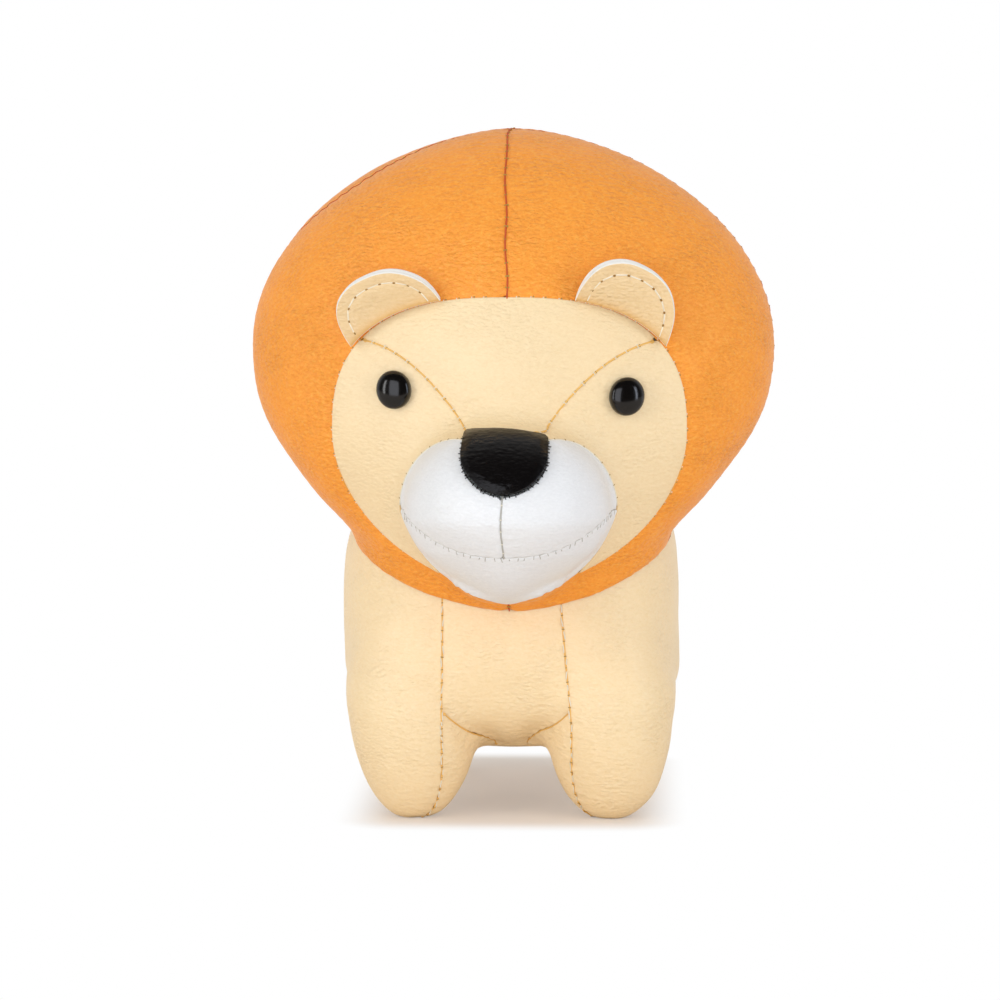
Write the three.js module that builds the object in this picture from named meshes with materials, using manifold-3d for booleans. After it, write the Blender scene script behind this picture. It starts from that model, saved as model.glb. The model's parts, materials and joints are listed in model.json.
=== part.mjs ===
// A stuffed lion sewn from leatherette panels: a big head with a round mane on a small standing
// body with four stub legs. Millimetres, +Z up. The lion faces -Y, and its own left is +X.
// The head, the body and their stuffing are one kind of form: a smooth field that is negative
// inside. Each field is meshed once, and the skin and the stuffing are that mesh drawn inwards.
import * as THREE from "three";
import { mergeVertices } from "three/addons/utils/BufferGeometryUtils.js";
import Module from "manifold-3d";

const wasm = await Module();
wasm.setup();

// Driving dimensions

// Cloth, seams and clearances
const skin = 1.0; // thickness of the leatherette with its backing
const seamGap = 0.3; // between two panels that are sewn edge to edge
const fitGap = 0.3; // between a piece and what it lies on
const overrun = 5; // how far a cutting shape runs past what it cuts

// Head: a dome that swells in front of and behind its rim
const maneHalfWidth = 52.9;
const domeMidZ = 95; // height of the widest place
const crownHeight = 43.8; // from there to the crown
const jawDrop = 53.2; // from there to the lowest place
const faceDepth = 34; // from the rim to the flattest place of the face
const napeDepth = 28; // from the rim to the back of the mane
const rimLean_share = 0.2; // the rim leans back by this share of the height
const maneRound_share = 1.685; // exponents of the dome's outline and of its depth
const domeRound_share = 2.2;
const jowlPinch_share = 0.109; // the mane narrows a little under the cheeks
const jowlPlace_share = 0.626;
const jowlSpread_share = 0.234;

// Muzzle: a lobe on the front of the dome, with a keeled chin under its widest place
const muzzleHalfWidth = 20.4;
const muzzleDepth = 23;
const muzzleMidY = -32.5;
const muzzleFall_share = 0.587; // share of the jaw's drop from the dome's middle to the mouth's corners
const bridgeHeight = 18; // from the mouth's corners to the top of the nose
const chinDrop = 18.2; // from there to the lowest place of the chin
const chinSlope_share = 0.1; // the chin sets back as it goes down
const chinSoft_share = 0.12; // how gently the keel starts
const muzzleRound_share = 2.3;
const muzzleBlend = 5; // width of the soft corner between the lobe and the dome

// Seams of the head, seen from the front
const faceHalfWidth = 34.9;
const faceFall_share = 0.305; // share of the jaw's drop from the dome's middle to the seam's
const faceTop = 26.8; // from the middle of the face seam to its top
const faceDrop = 30.5; // and to its bottom
const faceTopRound_share = 2.6;
const faceDropRound_share = 1.9;
const browHalfWidth = 29.5; // where the brow seams meet the face seam
const browRise = 18.4; // from the middle of the face seam
const bridgeHalfWidth = 8; // where they meet the nose
const bridgeRise = 16.4; // from the mouth's corners
const muzzleSeamRise = 15; // from the mouth's corners to the top of the white panels
const muzzleSeamShoulder = 8.6; // half width of their straight top
const muzzleSeamY = -27; // how far back the white panels reach
const chinMargin = 1; // how far the seam lies outside the chin
const mouthHalfWidth = 20.4;
const mouthEndRise = 0.4; // from the lobe's middle to the seam's ends
const mouthDip = 7.8; // from the mouth's corners down to its middle
const mouthRound_share = 2.4;
const noseTopHalfWidth = 7.9;
const noseTopRise = 15.8; // from the mouth's corners
const noseArch = 1.6; // how far the top edge is arched
const noseHalfWidth = 8.1;
const noseSideRise = 12; // from the mouth's corners to the nose's widest place
const noseDrop = 6.7; // from the widest place to the rounded bottom
const noseTiltDeg = 3; // the patch is sewn on a little askew, lower on the lion's own left
const noseRise = 0.8; // how far the nose stands proud of the muzzle
const noseReachY = -36; // the nose is all in front of this

// Neck: the head turns and nods on a ball of stuffing that sits in a hollow of each
const neckY = -2;
const neckRise = 13; // from the lowest place of the head
const neckBall = 14.5; // radius
const neckTurnDeg = 8; // to each side
const neckNodDeg = 6; // up and down
const neckPlay = 0.8; // clearance left at the ends of both

// Eyes: a domed head, a stem through the cheek panel and a washer behind it
const eyeX = 22.4;
const eyeRise = 8.1; // from the middle of the face seam
const eyeAskew = 0.6; // the own left eye is set this much lower, the right one higher
const eyeRadius = 3.6;
const eyeHeight = 2.7;
const eyeRim = 0.7; // height of the straight edge under the dome
const stemRadius = 1.5;
const stemLength = 6.5;
const washerRadius = 4.4;
const washerThickness = 1.1;
const stemPlay = 0.2; // between the stem and the holes it goes through

// Ears: two flat plies on a straight sewn base, set in the face seam
const earPly = 0.9;
const earInnerX = 13.4; // ends of the base, seen from the front
const earInnerRise = 25.6; // from the middle of the face seam
const earOuterX = 30.8;
const earOuterRise = 17.3;
const earHalfWidth = 9.9;
const earHeight = 12.8;
const earRound_share = 2.35; // exponent of its outline
const earLeanDeg = 42; // how far the ear stands off the head

// Body: a rounded torso on four stub legs
const torsoHalfWidth = 35;
const torsoHalfLength = 41;
const torsoMidY = 20;
const torsoMidZ = 42;
const torsoHalfHeight = 30;
const torsoSide_share = 3; // exponents of its sections
const torsoEnd_share = 3.5;
const legX = 19.5;
const frontLegInset = 12.6; // from the torso's front to the middle of the front legs
const rearLegInset = 14; // and from its rear to the middle of the rear legs
const legHalfWidth = 13.4;
const legTopZ = 22; // height where a leg is as wide as it gets
const legRound_share = 2.2;
const footRound_share = 1.65;
const footFlat = 0.7; // how deep each foot is cut flat
const legBlend = 4;
const bodyLegTop = 17; // the stuffing of a leg ends here
const legRoom = 16.8; // half width of the space that a leg's stuffing and inner panel take

// Places that follow
const muzzleMidZ = domeMidZ - muzzleFall_share * jawDrop;
const faceMidZ = domeMidZ - faceFall_share * jawDrop;
const browTopZ = faceMidZ + browRise;
const bridgeTopZ = muzzleMidZ + bridgeRise;
const mouthEndZ = muzzleMidZ + mouthEndRise;
const noseTopZ = muzzleMidZ + noseTopRise;
const noseSideZ = muzzleMidZ + noseSideRise;
const neckZ = domeMidZ - jawDrop + neckRise;
const eyeZ = faceMidZ + eyeRise;
const earInnerZ = faceMidZ + earInnerRise;
const earOuterZ = faceMidZ + earOuterRise;
const frontLegY = torsoMidY - torsoHalfLength + frontLegInset;
const rearLegY = torsoMidY + torsoHalfLength - rearLegInset;

// Seams of the body
const stripHalfWidth = 13.5; // chest and belly strip
const stripTaper = 16; // it narrows to a point over this length, under the tail
const stripTopZ = 42; // on the rump it stays below this
const stripNeckY = -8; // on the chest it runs up to the neck in front of this
const crotchZ = 22.8; // where an inner leg panel leaves the strip's edge, on the chest
const crotchSlope_share = 0.905; // from there its edge falls by this share of the way inwards
const footSeamX = 18; // the leg seam ends under the foot
const footSeamZ = 12; // and leaves the straight line here

// Tail: a strap that hangs over the rump, with a tuft sewn on its end
const tailPly = 0.9;
const tailRootZ = 55;
const tailHalfWidth = 4;
const tailLength = 27;
const tuftLength = 19;
const tuftHalfWidth = 6.5;
const tuftLap = 5; // how far the tuft's plies lap over the strap
const tailRoomY = 1.7; // from the rump to the middle of the strap

// Meshing: the grid that each form is sampled on
const headCell = 8.8; // over the mane
const faceCell = 6; // over the muzzle
const bodyCell = 8.8;
const footCell = 4.2;
const probe = 0.02; // step for measuring a field's slope

// Counts
const outlineSteps = 16; // points along each curved edge of a seam
const discSides = 16;
const domeSteps = 5; // rings of an eye's dome
const ballSides = 16;
const surfaceSteps = 4; // rounds of drawing a vertex onto its surface
const searchSteps = 40; // halvings when looking for the surface along a line

const [MANE, FACE, MUZZLE, NOSE, EYE, BODY, EAR, STUFFING, WASHER] = [
  { color: 0xf7a248, roughness: 0.55 },
  { color: 0xf8dfb6, roughness: 0.55 },
  { color: 0xebebe9, roughness: 0.55 },
  { color: 0x1a1515, roughness: 0.35 },
  { color: 0x0a0908, roughness: 0.05 },
  { color: 0xf7dbae, roughness: 0.55 },
  { color: 0xefcd9b, roughness: 0.6 },
  { color: 0xf4f4f0, roughness: 1 },
  { color: 0xe8e8e4, roughness: 0.5 },
];

// Small tools

const X = new THREE.Vector3(1, 0, 0);
const Y = new THREE.Vector3(0, 1, 0);
const Z = new THREE.Vector3(0, 0, 1);
const radians = THREE.MathUtils.degToRad;
const raised = (value, exponent) => Math.abs(value) ** exponent;

// A closed three.js geometry as a solid that can be cut.
function solid(geometry) {
  const bare = geometry.clone();
  bare.deleteAttribute("normal");
  bare.deleteAttribute("uv");
  const merged = mergeVertices(bare);
  return new wasm.Manifold(
    new wasm.Mesh({
      numProp: 3,
      vertProperties: new Float32Array(merged.attributes.position.array),
      triVerts: new Uint32Array(merged.index.array),
    }),
  );
}

// The main body of a cut, without the crumbs that a slanting seam can leave.
function mainBody(cut) {
  const bodies = cut.decompose();
  return bodies.reduce((a, b) => (a.volume() > b.volume() ? a : b));
}

function geometryOf(cut) {
  const mesh = cut.getMesh();
  const positions = new Float32Array(mesh.numVert * 3);
  for (let i = 0; i < mesh.numVert; i++) {
    const at = i * mesh.numProp;
    positions.set(mesh.vertProperties.subarray(at, at + 3), i * 3);
  }
  const geometry = new THREE.BufferGeometry();
  geometry.setAttribute("position", new THREE.BufferAttribute(positions, 3));
  geometry.setIndex(new THREE.BufferAttribute(new Uint32Array(mesh.triVerts), 1));
  geometry.computeVertexNormals();
  return geometry;
}

function material(look) {
  return new THREE.MeshStandardMaterial({ metalness: 0, ...look });
}

function named(name, geometry, look) {
  const mesh = new THREE.Mesh(geometry, material(look));
  mesh.name = name;
  return mesh;
}

function piece(name, cut, look) {
  return named(name, geometryOf(mainBody(cut)), look);
}

// Fields: each is about the distance to its surface, negative inside

// The slope of a field at a point.
function slope(field, x, y, z) {
  return new THREE.Vector3(
    field(x + probe, y, z) - field(x - probe, y, z),
    field(x, y + probe, z) - field(x, y - probe, z),
    field(x, y, z + probe) - field(x, y, z - probe),
  ).divideScalar(2 * probe);
}

// A measure that is 1 on the surface, turned into a distance.
function distanceFrom(measure) {
  const root = (x, y, z) => Math.sqrt(measure(x, y, z));
  const steepest_share = 4; // keeps the middle of the form, where the slope fades, in bounds
  return (x, y, z) => {
    const steep = slope(root, x, y, z).length();
    return (root(x, y, z) - 1) / Math.max(steep, 1 / (steepest_share * maneHalfWidth));
  };
}

// Two fields as one, with a soft corner of the given width.
function joined(a, b, width) {
  return (x, y, z) => {
    const first = a(x, y, z);
    const second = b(x, y, z);
    const near = Math.max(width - Math.abs(first - second), 0);
    return Math.min(first, second) - near ** 2 / (4 * width);
  };
}

function domeMeasure(x, y, z) {
  const rise = z - domeMidZ;
  const lift = rise / (rise > 0 ? crownHeight : jawDrop);
  const depth = y - rimLean_share * rise;
  const jowl = Math.exp(-(((lift + jowlPlace_share) / jowlSpread_share) ** 2));
  const width = maneHalfWidth * (1 - jowlPinch_share * jowl);
  return (
    raised(x / width, maneRound_share) +
    lift ** 2 +
    raised(depth / (depth < 0 ? faceDepth : napeDepth), domeRound_share)
  );
}

function muzzleMeasure(x, y, z) {
  const rise = z - muzzleMidZ;
  const fall = -rise / chinDrop;
  const soft = Math.hypot(fall, chinSoft_share) - chinSoft_share;
  const whole = Math.hypot(1, chinSoft_share) - chinSoft_share;
  const depth = y - muzzleMidY + chinSlope_share * Math.min(rise, 0);
  return (
    raised(x / muzzleHalfWidth, muzzleRound_share) +
    raised(depth / muzzleDepth, muzzleRound_share) +
    (rise > 0 ? (rise / bridgeHeight) ** 2 : soft / whole)
  );
}

function torsoMeasure(x, y, z) {
  return (
    raised(x / torsoHalfWidth, torsoSide_share) +
    raised((y - torsoMidY) / torsoHalfLength, torsoEnd_share) +
    raised((z - torsoMidZ) / torsoHalfHeight, torsoSide_share)
  );
}

function legMeasure(x, y, z, legY) {
  return (
    raised((Math.abs(x) - legX) / legHalfWidth, legRound_share) +
    raised((y - legY) / legHalfWidth, legRound_share) +
    raised((z - legTopZ) / (legTopZ + footFlat), footRound_share)
  );
}

const headField = joined(distanceFrom(domeMeasure), distanceFrom(muzzleMeasure), muzzleBlend);
const frontLegs = distanceFrom((x, y, z) => legMeasure(x, y, z, frontLegY));
const rearLegs = distanceFrom((x, y, z) => legMeasure(x, y, z, rearLegY));
const torsoField = distanceFrom(torsoMeasure);
const bodyField = joined(
  joined(torsoField, frontLegs, legBlend),
  rearLegs,
  legBlend,
);

// Where a line from a point meets a field's surface.
function surfaceAlong(field, from, direction, reach) {
  let inside = 0;
  let outside = reach;
  for (let i = 0; i < searchSteps; i++) {
    const middle = (inside + outside) / 2;
    const at = from.clone().addScaledVector(direction, middle);
    if (field(at.x, at.y, at.z) < 0) inside = middle;
    else outside = middle;
  }
  return from.clone().addScaledVector(direction, inside);
}

// The face's surface at a place seen from the front.
function faceAt(x, z) {
  const from = new THREE.Vector3(x, rimLean_share * (z - domeMidZ), z);
  return surfaceAlong(headField, from, Y.clone().negate(), faceDepth + 2 * muzzleDepth);
}

function normalAt(field, at) {
  return slope(field, at.x, at.y, at.z).normalize();
}

// Forms: a field meshed on a grid, with each vertex drawn onto the surface

// Grid lines from one place past another, fine where the form needs it and coarse elsewhere.
function gridLines(low, high, coarse, fine, needsFine) {
  const lines = [low - coarse];
  while (lines.at(-1) < high + coarse) {
    const last = lines.at(-1);
    lines.push(last + (needsFine(last) ? fine : coarse));
  }
  return lines;
}

// Lines across the form, alike on both sides of X = 0.
function gridLinesAcross(high, coarse, fine, needsFine) {
  const right = gridLines(coarse, high, coarse, fine, needsFine);
  return [...right.slice(1).reverse().map((x) => -x), ...right];
}

// A field meshed over grid lines along X, Y and Z that run past the form on every side.
function meshForm(field, [linesX, linesY, linesZ]) {
  const [nx, ny, nz] = [linesX.length, linesY.length, linesZ.length];
  const indexOf = (i, j, k) => (k * ny + j) * nx + i;
  const pointOf = (i, j, k) => new THREE.Vector3(linesX[i], linesY[j], linesZ[k]);
  const values = new Float64Array(nx * ny * nz);
  for (let k = 0; k < nz; k++)
    for (let j = 0; j < ny; j++)
      for (let i = 0; i < nx; i++) {
        const p = pointOf(i, j, k);
        values[indexOf(i, j, k)] = field(p.x, p.y, p.z);
      }

  // One vertex in each cell that the surface goes through.
  const vertexOf = new Map();
  const points = [];
  for (let k = 0; k < nz - 1; k++)
    for (let j = 0; j < ny - 1; j++)
      for (let i = 0; i < nx - 1; i++) {
        const middle = crossingMiddle(values, indexOf, pointOf, i, j, k);
        if (!middle) continue;
        vertexOf.set(indexOf(i, j, k), points.length);
        points.push(drawnOn(field, middle));
      }

  // One square across each grid edge that the surface goes through.
  const faces = [];
  const steps = [[1, 0, 0], [0, 1, 0], [0, 0, 1]];
  for (let k = 1; k < nz - 1; k++)
    for (let j = 1; j < ny - 1; j++)
      for (let i = 1; i < nx - 1; i++)
        steps.forEach(([di, dj, dk], axis) => {
          const here = values[indexOf(i, j, k)] < 0;
          const there = values[indexOf(i + di, j + dj, k + dk)] < 0;
          if (here === there) return;
          const [u, v] = [steps[(axis + 1) % 3], steps[(axis + 2) % 3]];
          const corner = (a, b) =>
            vertexOf.get(
              indexOf(
                i - a * u[0] - b * v[0],
                j - a * u[1] - b * v[1],
                k - a * u[2] - b * v[2],
              ),
            );
          const square = [corner(0, 0), corner(1, 0), corner(1, 1), corner(0, 1)];
          if (!here) square.reverse();
          faces.push(...trianglesOf(square, points));
        });
  const normals = points.map((p) => normalAt(field, p));
  return { points, faces, normals };
}

// The middle of the places where a cell's edges cross the surface, if any do.
function crossingMiddle(values, indexOf, pointOf, i, j, k) {
  const sum = new THREE.Vector3();
  let crossings = 0;
  for (let axis = 0; axis < 3; axis++)
    for (let a = 0; a < 2; a++)
      for (let b = 0; b < 2; b++) {
        const low = [0, 0, 0];
        low[(axis + 1) % 3] = a;
        low[(axis + 2) % 3] = b;
        const high = [...low];
        high[axis] = 1;
        const from = [i + low[0], j + low[1], k + low[2]];
        const to = [i + high[0], j + high[1], k + high[2]];
        const start = values[indexOf(...from)];
        const end = values[indexOf(...to)];
        if (start < 0 === end < 0) continue;
        sum.add(pointOf(...from).lerp(pointOf(...to), start / (start - end)));
        crossings++;
      }
  return crossings ? sum.divideScalar(crossings) : null;
}

function drawnOn(field, start) {
  const at = start.clone();
  for (let i = 0; i < surfaceSteps; i++) {
    const steep = slope(field, at.x, at.y, at.z);
    at.addScaledVector(steep, -field(at.x, at.y, at.z) / steep.lengthSq());
  }
  return at;
}

// A square as two triangles, split along its shorter diagonal.
function trianglesOf([a, b, c, d], points) {
  if (points[a].distanceTo(points[c]) <= points[b].distanceTo(points[d]))
    return [a, b, c, a, c, d];
  return [a, b, d, b, c, d];
}

// A form drawn in by a depth, which may differ from place to place.
function drawnIn(form, depth) {
  const depthAt = typeof depth === "function" ? depth : () => depth;
  const positions = new Float32Array(form.points.length * 3);
  form.points.forEach((p, i) => {
    const at = p.clone().addScaledVector(form.normals[i], -depthAt(p, form.normals[i]));
    positions.set([at.x, at.y, at.z], i * 3);
  });
  const geometry = new THREE.BufferGeometry();
  geometry.setAttribute("position", new THREE.BufferAttribute(positions, 3));
  geometry.setIndex(form.faces);
  return solid(geometry);
}

// Outlines and the shapes that cut along them

// A closed outline moved outwards by a distance. Its points run anticlockwise.
function grown(points, distance) {
  const count = points.length;
  const sharpest_share = 0.5; // keeps the tip of a sharp corner from running away
  return points.map((p, i) => {
    const before = points[(i + count - 1) % count];
    const after = points[(i + 1) % count];
    const one = p.clone().sub(before).normalize();
    const two = after.clone().sub(p).normalize();
    const along = one.clone().add(two).normalize();
    const out = new THREE.Vector2(along.y, -along.x);
    const corner = Math.max(out.dot(new THREE.Vector2(one.y, -one.x)), sharpest_share);
    return p.clone().addScaledVector(out, distance / corner);
  });
}

// A prism over an outline, between two heights along the axis that the outline faces.
// Outlines over Z are in X and Y, outlines over Y in X and Z, outlines over X in Y and Z.
function prism(axis, points, low, high) {
  const shape = new THREE.Shape(points);
  const geometry = new THREE.ExtrudeGeometry(shape, { depth: high - low, bevelEnabled: false });
  geometry.translate(0, 0, low);
  if (axis === Y) {
    geometry.translate(0, 0, -low - high);
    geometry.rotateX(Math.PI / 2);
  }
  if (axis === X) {
    geometry.rotateX(Math.PI / 2);
    geometry.rotateZ(Math.PI / 2);
  }
  return solid(geometry);
}

function block(min, max) {
  const size = max.clone().sub(min);
  const geometry = new THREE.BoxGeometry(size.x, size.y, size.z);
  geometry.translate((min.x + max.x) / 2, (min.y + max.y) / 2, (min.z + max.z) / 2);
  return solid(geometry);
}

function curvePoints(count, pointAt) {
  return Array.from({ length: count + 1 }, (_, i) => new THREE.Vector2(...pointAt(i / count)));
}

const headReach = maneHalfWidth + overrun;
const headTop = domeMidZ + crownHeight + overrun;
const headFront = muzzleMidY - muzzleDepth - overrun;

// The closed seam between the mane and the face.
function faceOutline() {
  return curvePoints(2 * outlineSteps, (t) => {
    const angle = 2 * Math.PI * t;
    const [c, s] = [Math.cos(angle), Math.sin(angle)];
    const round_share = s > 0 ? faceTopRound_share : faceDropRound_share;
    const rise = s > 0 ? faceTop : faceDrop;
    return [
      faceHalfWidth * Math.sign(c) * raised(c, 2 / round_share),
      faceMidZ + rise * Math.sign(s) * raised(s, 2 / round_share),
    ];
  }).slice(0, -1);
}

// Height of the brow seam at a distance from the middle.
function browHeight(x) {
  const along = (Math.abs(x) - bridgeHalfWidth) / (browHalfWidth - bridgeHalfWidth);
  return bridgeTopZ + (browTopZ - bridgeTopZ) * (1 - (1 - Math.min(along, 1)) ** 2);
}

// The forehead's region: everything over the two brow seams.
function foreheadOutline() {
  const right = curvePoints(outlineSteps / 2, (t) => {
    const x = THREE.MathUtils.lerp(bridgeHalfWidth, browHalfWidth, t);
    return [x, browHeight(x)];
  });
  const left = right.map((p) => new THREE.Vector2(-p.x, p.y)).reverse();
  return [
    ...left,
    ...right,
    new THREE.Vector2(headReach, browTopZ),
    new THREE.Vector2(headReach, headTop),
    new THREE.Vector2(-headReach, headTop),
    new THREE.Vector2(-headReach, browTopZ),
  ];
}

// The white panels' region: an elliptic shoulder over the mouth and a keel under it.
function muzzleOutline() {
  const keelWidth = muzzleHalfWidth + chinMargin;
  const shoulder = keelWidth - muzzleSeamShoulder;
  const upper = curvePoints(outlineSteps / 2, (t) => {
    const angle = (Math.PI / 2) * t;
    return [
      muzzleSeamShoulder + shoulder * Math.cos(angle),
      muzzleMidZ + muzzleSeamRise * Math.sin(angle),
    ];
  });
  const mirrored = upper.map((p) => new THREE.Vector2(-p.x, p.y)).reverse();
  const keel = curvePoints(outlineSteps, (t) => {
    const side = 2 * t - 1;
    return [side * keelWidth, muzzleMidZ - (chinDrop + chinMargin) * (1 - side ** 2)];
  }).slice(1, -1);
  return [...upper, ...mirrored, ...keel];
}

function mouthHeight(x) {
  return mouthEndZ - mouthDip * (1 - raised(x / mouthHalfWidth, mouthRound_share));
}

// Everything under the mouth seam.
function chinOutline() {
  const line = curvePoints(outlineSteps, (t) => {
    const x = (1 - 2 * t) * (muzzleHalfWidth + chinMargin);
    return [x, mouthHeight(Math.min(Math.abs(x), mouthHalfWidth))];
  });
  const bottom = muzzleMidZ - chinDrop - overrun;
  const side = headReach;
  return [
    new THREE.Vector2(-side, bottom),
    new THREE.Vector2(side, bottom),
    new THREE.Vector2(side, mouthEndZ),
    ...line,
    new THREE.Vector2(-side, mouthEndZ),
  ];
}

function noseOutline() {
  const top = new THREE.QuadraticBezierCurve(
    new THREE.Vector2(noseTopHalfWidth, noseTopZ),
    new THREE.Vector2(0, noseTopZ + noseArch),
    new THREE.Vector2(-noseTopHalfWidth, noseTopZ),
  ).getPoints(outlineSteps / 4);
  const bottom = curvePoints(outlineSteps / 2, (t) => {
    const angle = Math.PI * (1 + t);
    return [noseHalfWidth * Math.cos(angle), noseSideZ + noseDrop * Math.sin(angle)];
  });
  const middle = new THREE.Vector2(0, noseSideZ);
  return [...top, ...bottom].map((p) => p.rotateAround(middle, -radians(noseTiltDeg)));
}

// Head panels

const half = seamGap / 2;
const headBox = new THREE.Box3(
  new THREE.Vector3(-headReach, headFront, domeMidZ - jawDrop - overrun),
  new THREE.Vector3(headReach, napeDepth + rimLean_share * jawDrop + overrun, headTop),
);
const headForm = meshForm(headField, [
  gridLinesAcross(headBox.max.x, headCell, faceCell, (x) => x < muzzleHalfWidth),
  gridLines(headBox.min.y, headBox.max.y, headCell, faceCell, (y) => y < muzzleSeamY),
  gridLines(headBox.min.z, headBox.max.z, headCell, faceCell, (z) => z < bridgeTopZ),
]);
const neckPoint = new THREE.Vector3(0, neckY, neckZ);

function neckSphere(radius) {
  const geometry = new THREE.SphereGeometry(radius, ballSides, ballSides / 2);
  geometry.rotateX(Math.PI / 2);
  geometry.translate(neckPoint.x, neckPoint.y, neckPoint.z);
  return solid(geometry);
}

const neckHollow = neckSphere(neckBall + fitGap);

// In front of the rim (side -1) or behind it (side 1), drawn back from the rim by a distance.
function beyondRim(side, back) {
  const farY = side * (faceDepth + muzzleDepth + napeDepth + overrun);
  const rimAt = (z) => rimLean_share * (z - domeMidZ) + side * back;
  const bottom = headBox.min.z;
  const corners = [
    new THREE.Vector2(rimAt(bottom), bottom),
    new THREE.Vector2(farY, bottom),
    new THREE.Vector2(farY, headTop),
    new THREE.Vector2(rimAt(headTop), headTop),
  ];
  return prism(X, side > 0 ? corners : corners.reverse(), -headReach, headReach);
}

// One side of the middle seam.
function besideMiddle(side, box) {
  const near = side * half;
  const far = side * (box.max.x + overrun);
  return block(
    new THREE.Vector3(Math.min(near, far), box.min.y - overrun, box.min.z - overrun),
    new THREE.Vector3(Math.max(near, far), box.max.y + overrun, box.max.z + overrun),
  );
}

function frontPrism(outline, change, backY) {
  return prism(Y, grown(outline, change), headFront - overrun, backY);
}

const facePrism = (change) =>
  frontPrism(faceOutline(), change, 0).add(frontPrism(muzzleOutline(), change, muzzleSeamY));
const muzzlePrism = (change) => frontPrism(muzzleOutline(), change, muzzleSeamY);
const foreheadPrism = (change) => frontPrism(foreheadOutline(), change, 0);
const chinPrism = (change) => frontPrism(chinOutline(), change, muzzleSeamY);
const nosePrism = (change) => frontPrism(noseOutline(), change, noseReachY);

// Places of the eyes: a frame on the face with Z out of it.
function eyeFrame(side) {
  const group = new THREE.Group();
  const at = faceAt(side * eyeX, eyeZ - side * eyeAskew);
  group.position.copy(at);
  group.quaternion.setFromUnitVectors(Z, normalAt(headField, at));
  group.updateMatrixWorld(true);
  return group;
}

// A round cutter along an eye's axis, from over the face down to a depth.
function eyeBore(side, radius, depth) {
  const geometry = new THREE.CylinderGeometry(radius, radius, depth + overrun, discSides);
  geometry.rotateX(Math.PI / 2);
  geometry.translate(0, 0, (overrun - depth) / 2);
  return solid(geometry.applyMatrix4(eyeFrame(side).matrixWorld));
}

function headPieces() {
  const outer = drawnIn(headForm, 0);
  const inner = drawnIn(headForm, skin);
  const shell = outer.subtract(inner).subtract(neckHollow);
  const front = shell.intersect(beyondRim(-1, half));
  const back = shell.intersect(beyondRim(1, half));
  const mane = front.subtract(facePrism(half));
  const face = front.intersect(facePrism(-half));
  const white = face.intersect(muzzlePrism(-half)).subtract(nosePrism(half));
  const cream = face.subtract(muzzlePrism(half)).subtract(nosePrism(half));
  const upper = white.subtract(chinPrism(half));
  const lower = cream.subtract(foreheadPrism(half));
  const proud = drawnIn(headForm, -noseRise);
  const group = new THREE.Group();
  for (const [side, own] of [[1, "left"], [-1, "right"]]) {
    const ownSide = besideMiddle(side, headBox);
    const stemHole = eyeBore(side, stemRadius + stemPlay, stemLength);
    group.add(
      piece(`mane_front_${own}`, mane.intersect(ownSide), MANE),
      piece(`mane_back_${own}`, back.intersect(ownSide), MANE),
      piece(`cheek_${own}`, lower.intersect(ownSide).subtract(stemHole), FACE),
      piece(`muzzle_${own}`, upper.intersect(ownSide), MUZZLE),
    );
  }
  group.add(
    piece("forehead", cream.intersect(foreheadPrism(-half)), FACE),
    piece("chin", white.intersect(chinPrism(-half)), MUZZLE),
    piece("nose", proud.subtract(inner).intersect(nosePrism(-half)), NOSE),
  );
  const pocketDepth = skin + stemLength + fitGap;
  const pockets = [1, -1].map((side) => eyeBore(side, washerRadius + fitGap, pocketDepth));
  const stuffing = pockets.reduce((s, p) => s.subtract(p), drawnIn(headForm, skin + fitGap));
  group.add(piece("head_stuffing", stuffing.subtract(neckHollow), STUFFING));
  return group;
}

// An eye: a dome with a straight rim on a stem, and the washer that locks it behind the skin.
function eyePieces(side, own) {
  const group = eyeFrame(side);
  const dome = curvePoints(domeSteps, (t) => [
    eyeRadius * Math.cos((Math.PI / 2) * t),
    fitGap + eyeRim + (eyeHeight - eyeRim) * Math.sin((Math.PI / 2) * t),
  ]);
  dome[dome.length - 1].x = 0;
  const profile = [
    new THREE.Vector2(0, -stemLength),
    new THREE.Vector2(stemRadius, -stemLength),
    new THREE.Vector2(stemRadius, fitGap),
    new THREE.Vector2(eyeRadius, fitGap),
    ...dome,
  ];
  const eye = new THREE.LatheGeometry(profile, discSides);
  eye.rotateX(Math.PI / 2);
  const washerTop = -skin - 2 * fitGap;
  const washer = new THREE.LatheGeometry(
    [
      new THREE.Vector2(stemRadius + stemPlay, washerTop - washerThickness),
      new THREE.Vector2(washerRadius, washerTop - washerThickness),
      new THREE.Vector2(washerRadius, washerTop),
      new THREE.Vector2(stemRadius + stemPlay, washerTop),
      new THREE.Vector2(stemRadius + stemPlay, washerTop - washerThickness),
    ],
    discSides,
  );
  washer.rotateX(Math.PI / 2);
  group.add(named(`eye_${own}`, geometryOf(solid(eye)), EYE));
  group.add(named(`eye_washer_${own}`, geometryOf(solid(washer)), WASHER));
  return group;
}

// The ear's frame: X along the base, Y up the ear, Z out of its front.
function earFrame(side) {
  const inner = faceAt(side * earInnerX, earInnerZ);
  const outer = faceAt(side * earOuterX, earOuterZ);
  const middle = faceAt(side * (earInnerX + earOuterX) / 2, (earInnerZ + earOuterZ) / 2);
  const out = normalAt(headField, middle);
  const along = side > 0 ? outer.clone().sub(inner) : inner.clone().sub(outer);
  along.addScaledVector(out, -along.dot(out)).normalize();
  const up = out.clone().cross(along);
  const lean = radians(earLeanDeg);
  const rise = up.multiplyScalar(Math.cos(lean)).addScaledVector(out, Math.sin(lean));
  const face = along.clone().cross(rise);
  const group = new THREE.Group();
  group.position.copy(middle).addScaledVector(out, earPly + half + fitGap);
  group.quaternion.setFromRotationMatrix(new THREE.Matrix4().makeBasis(along, rise, face));
  return group;
}

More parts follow.
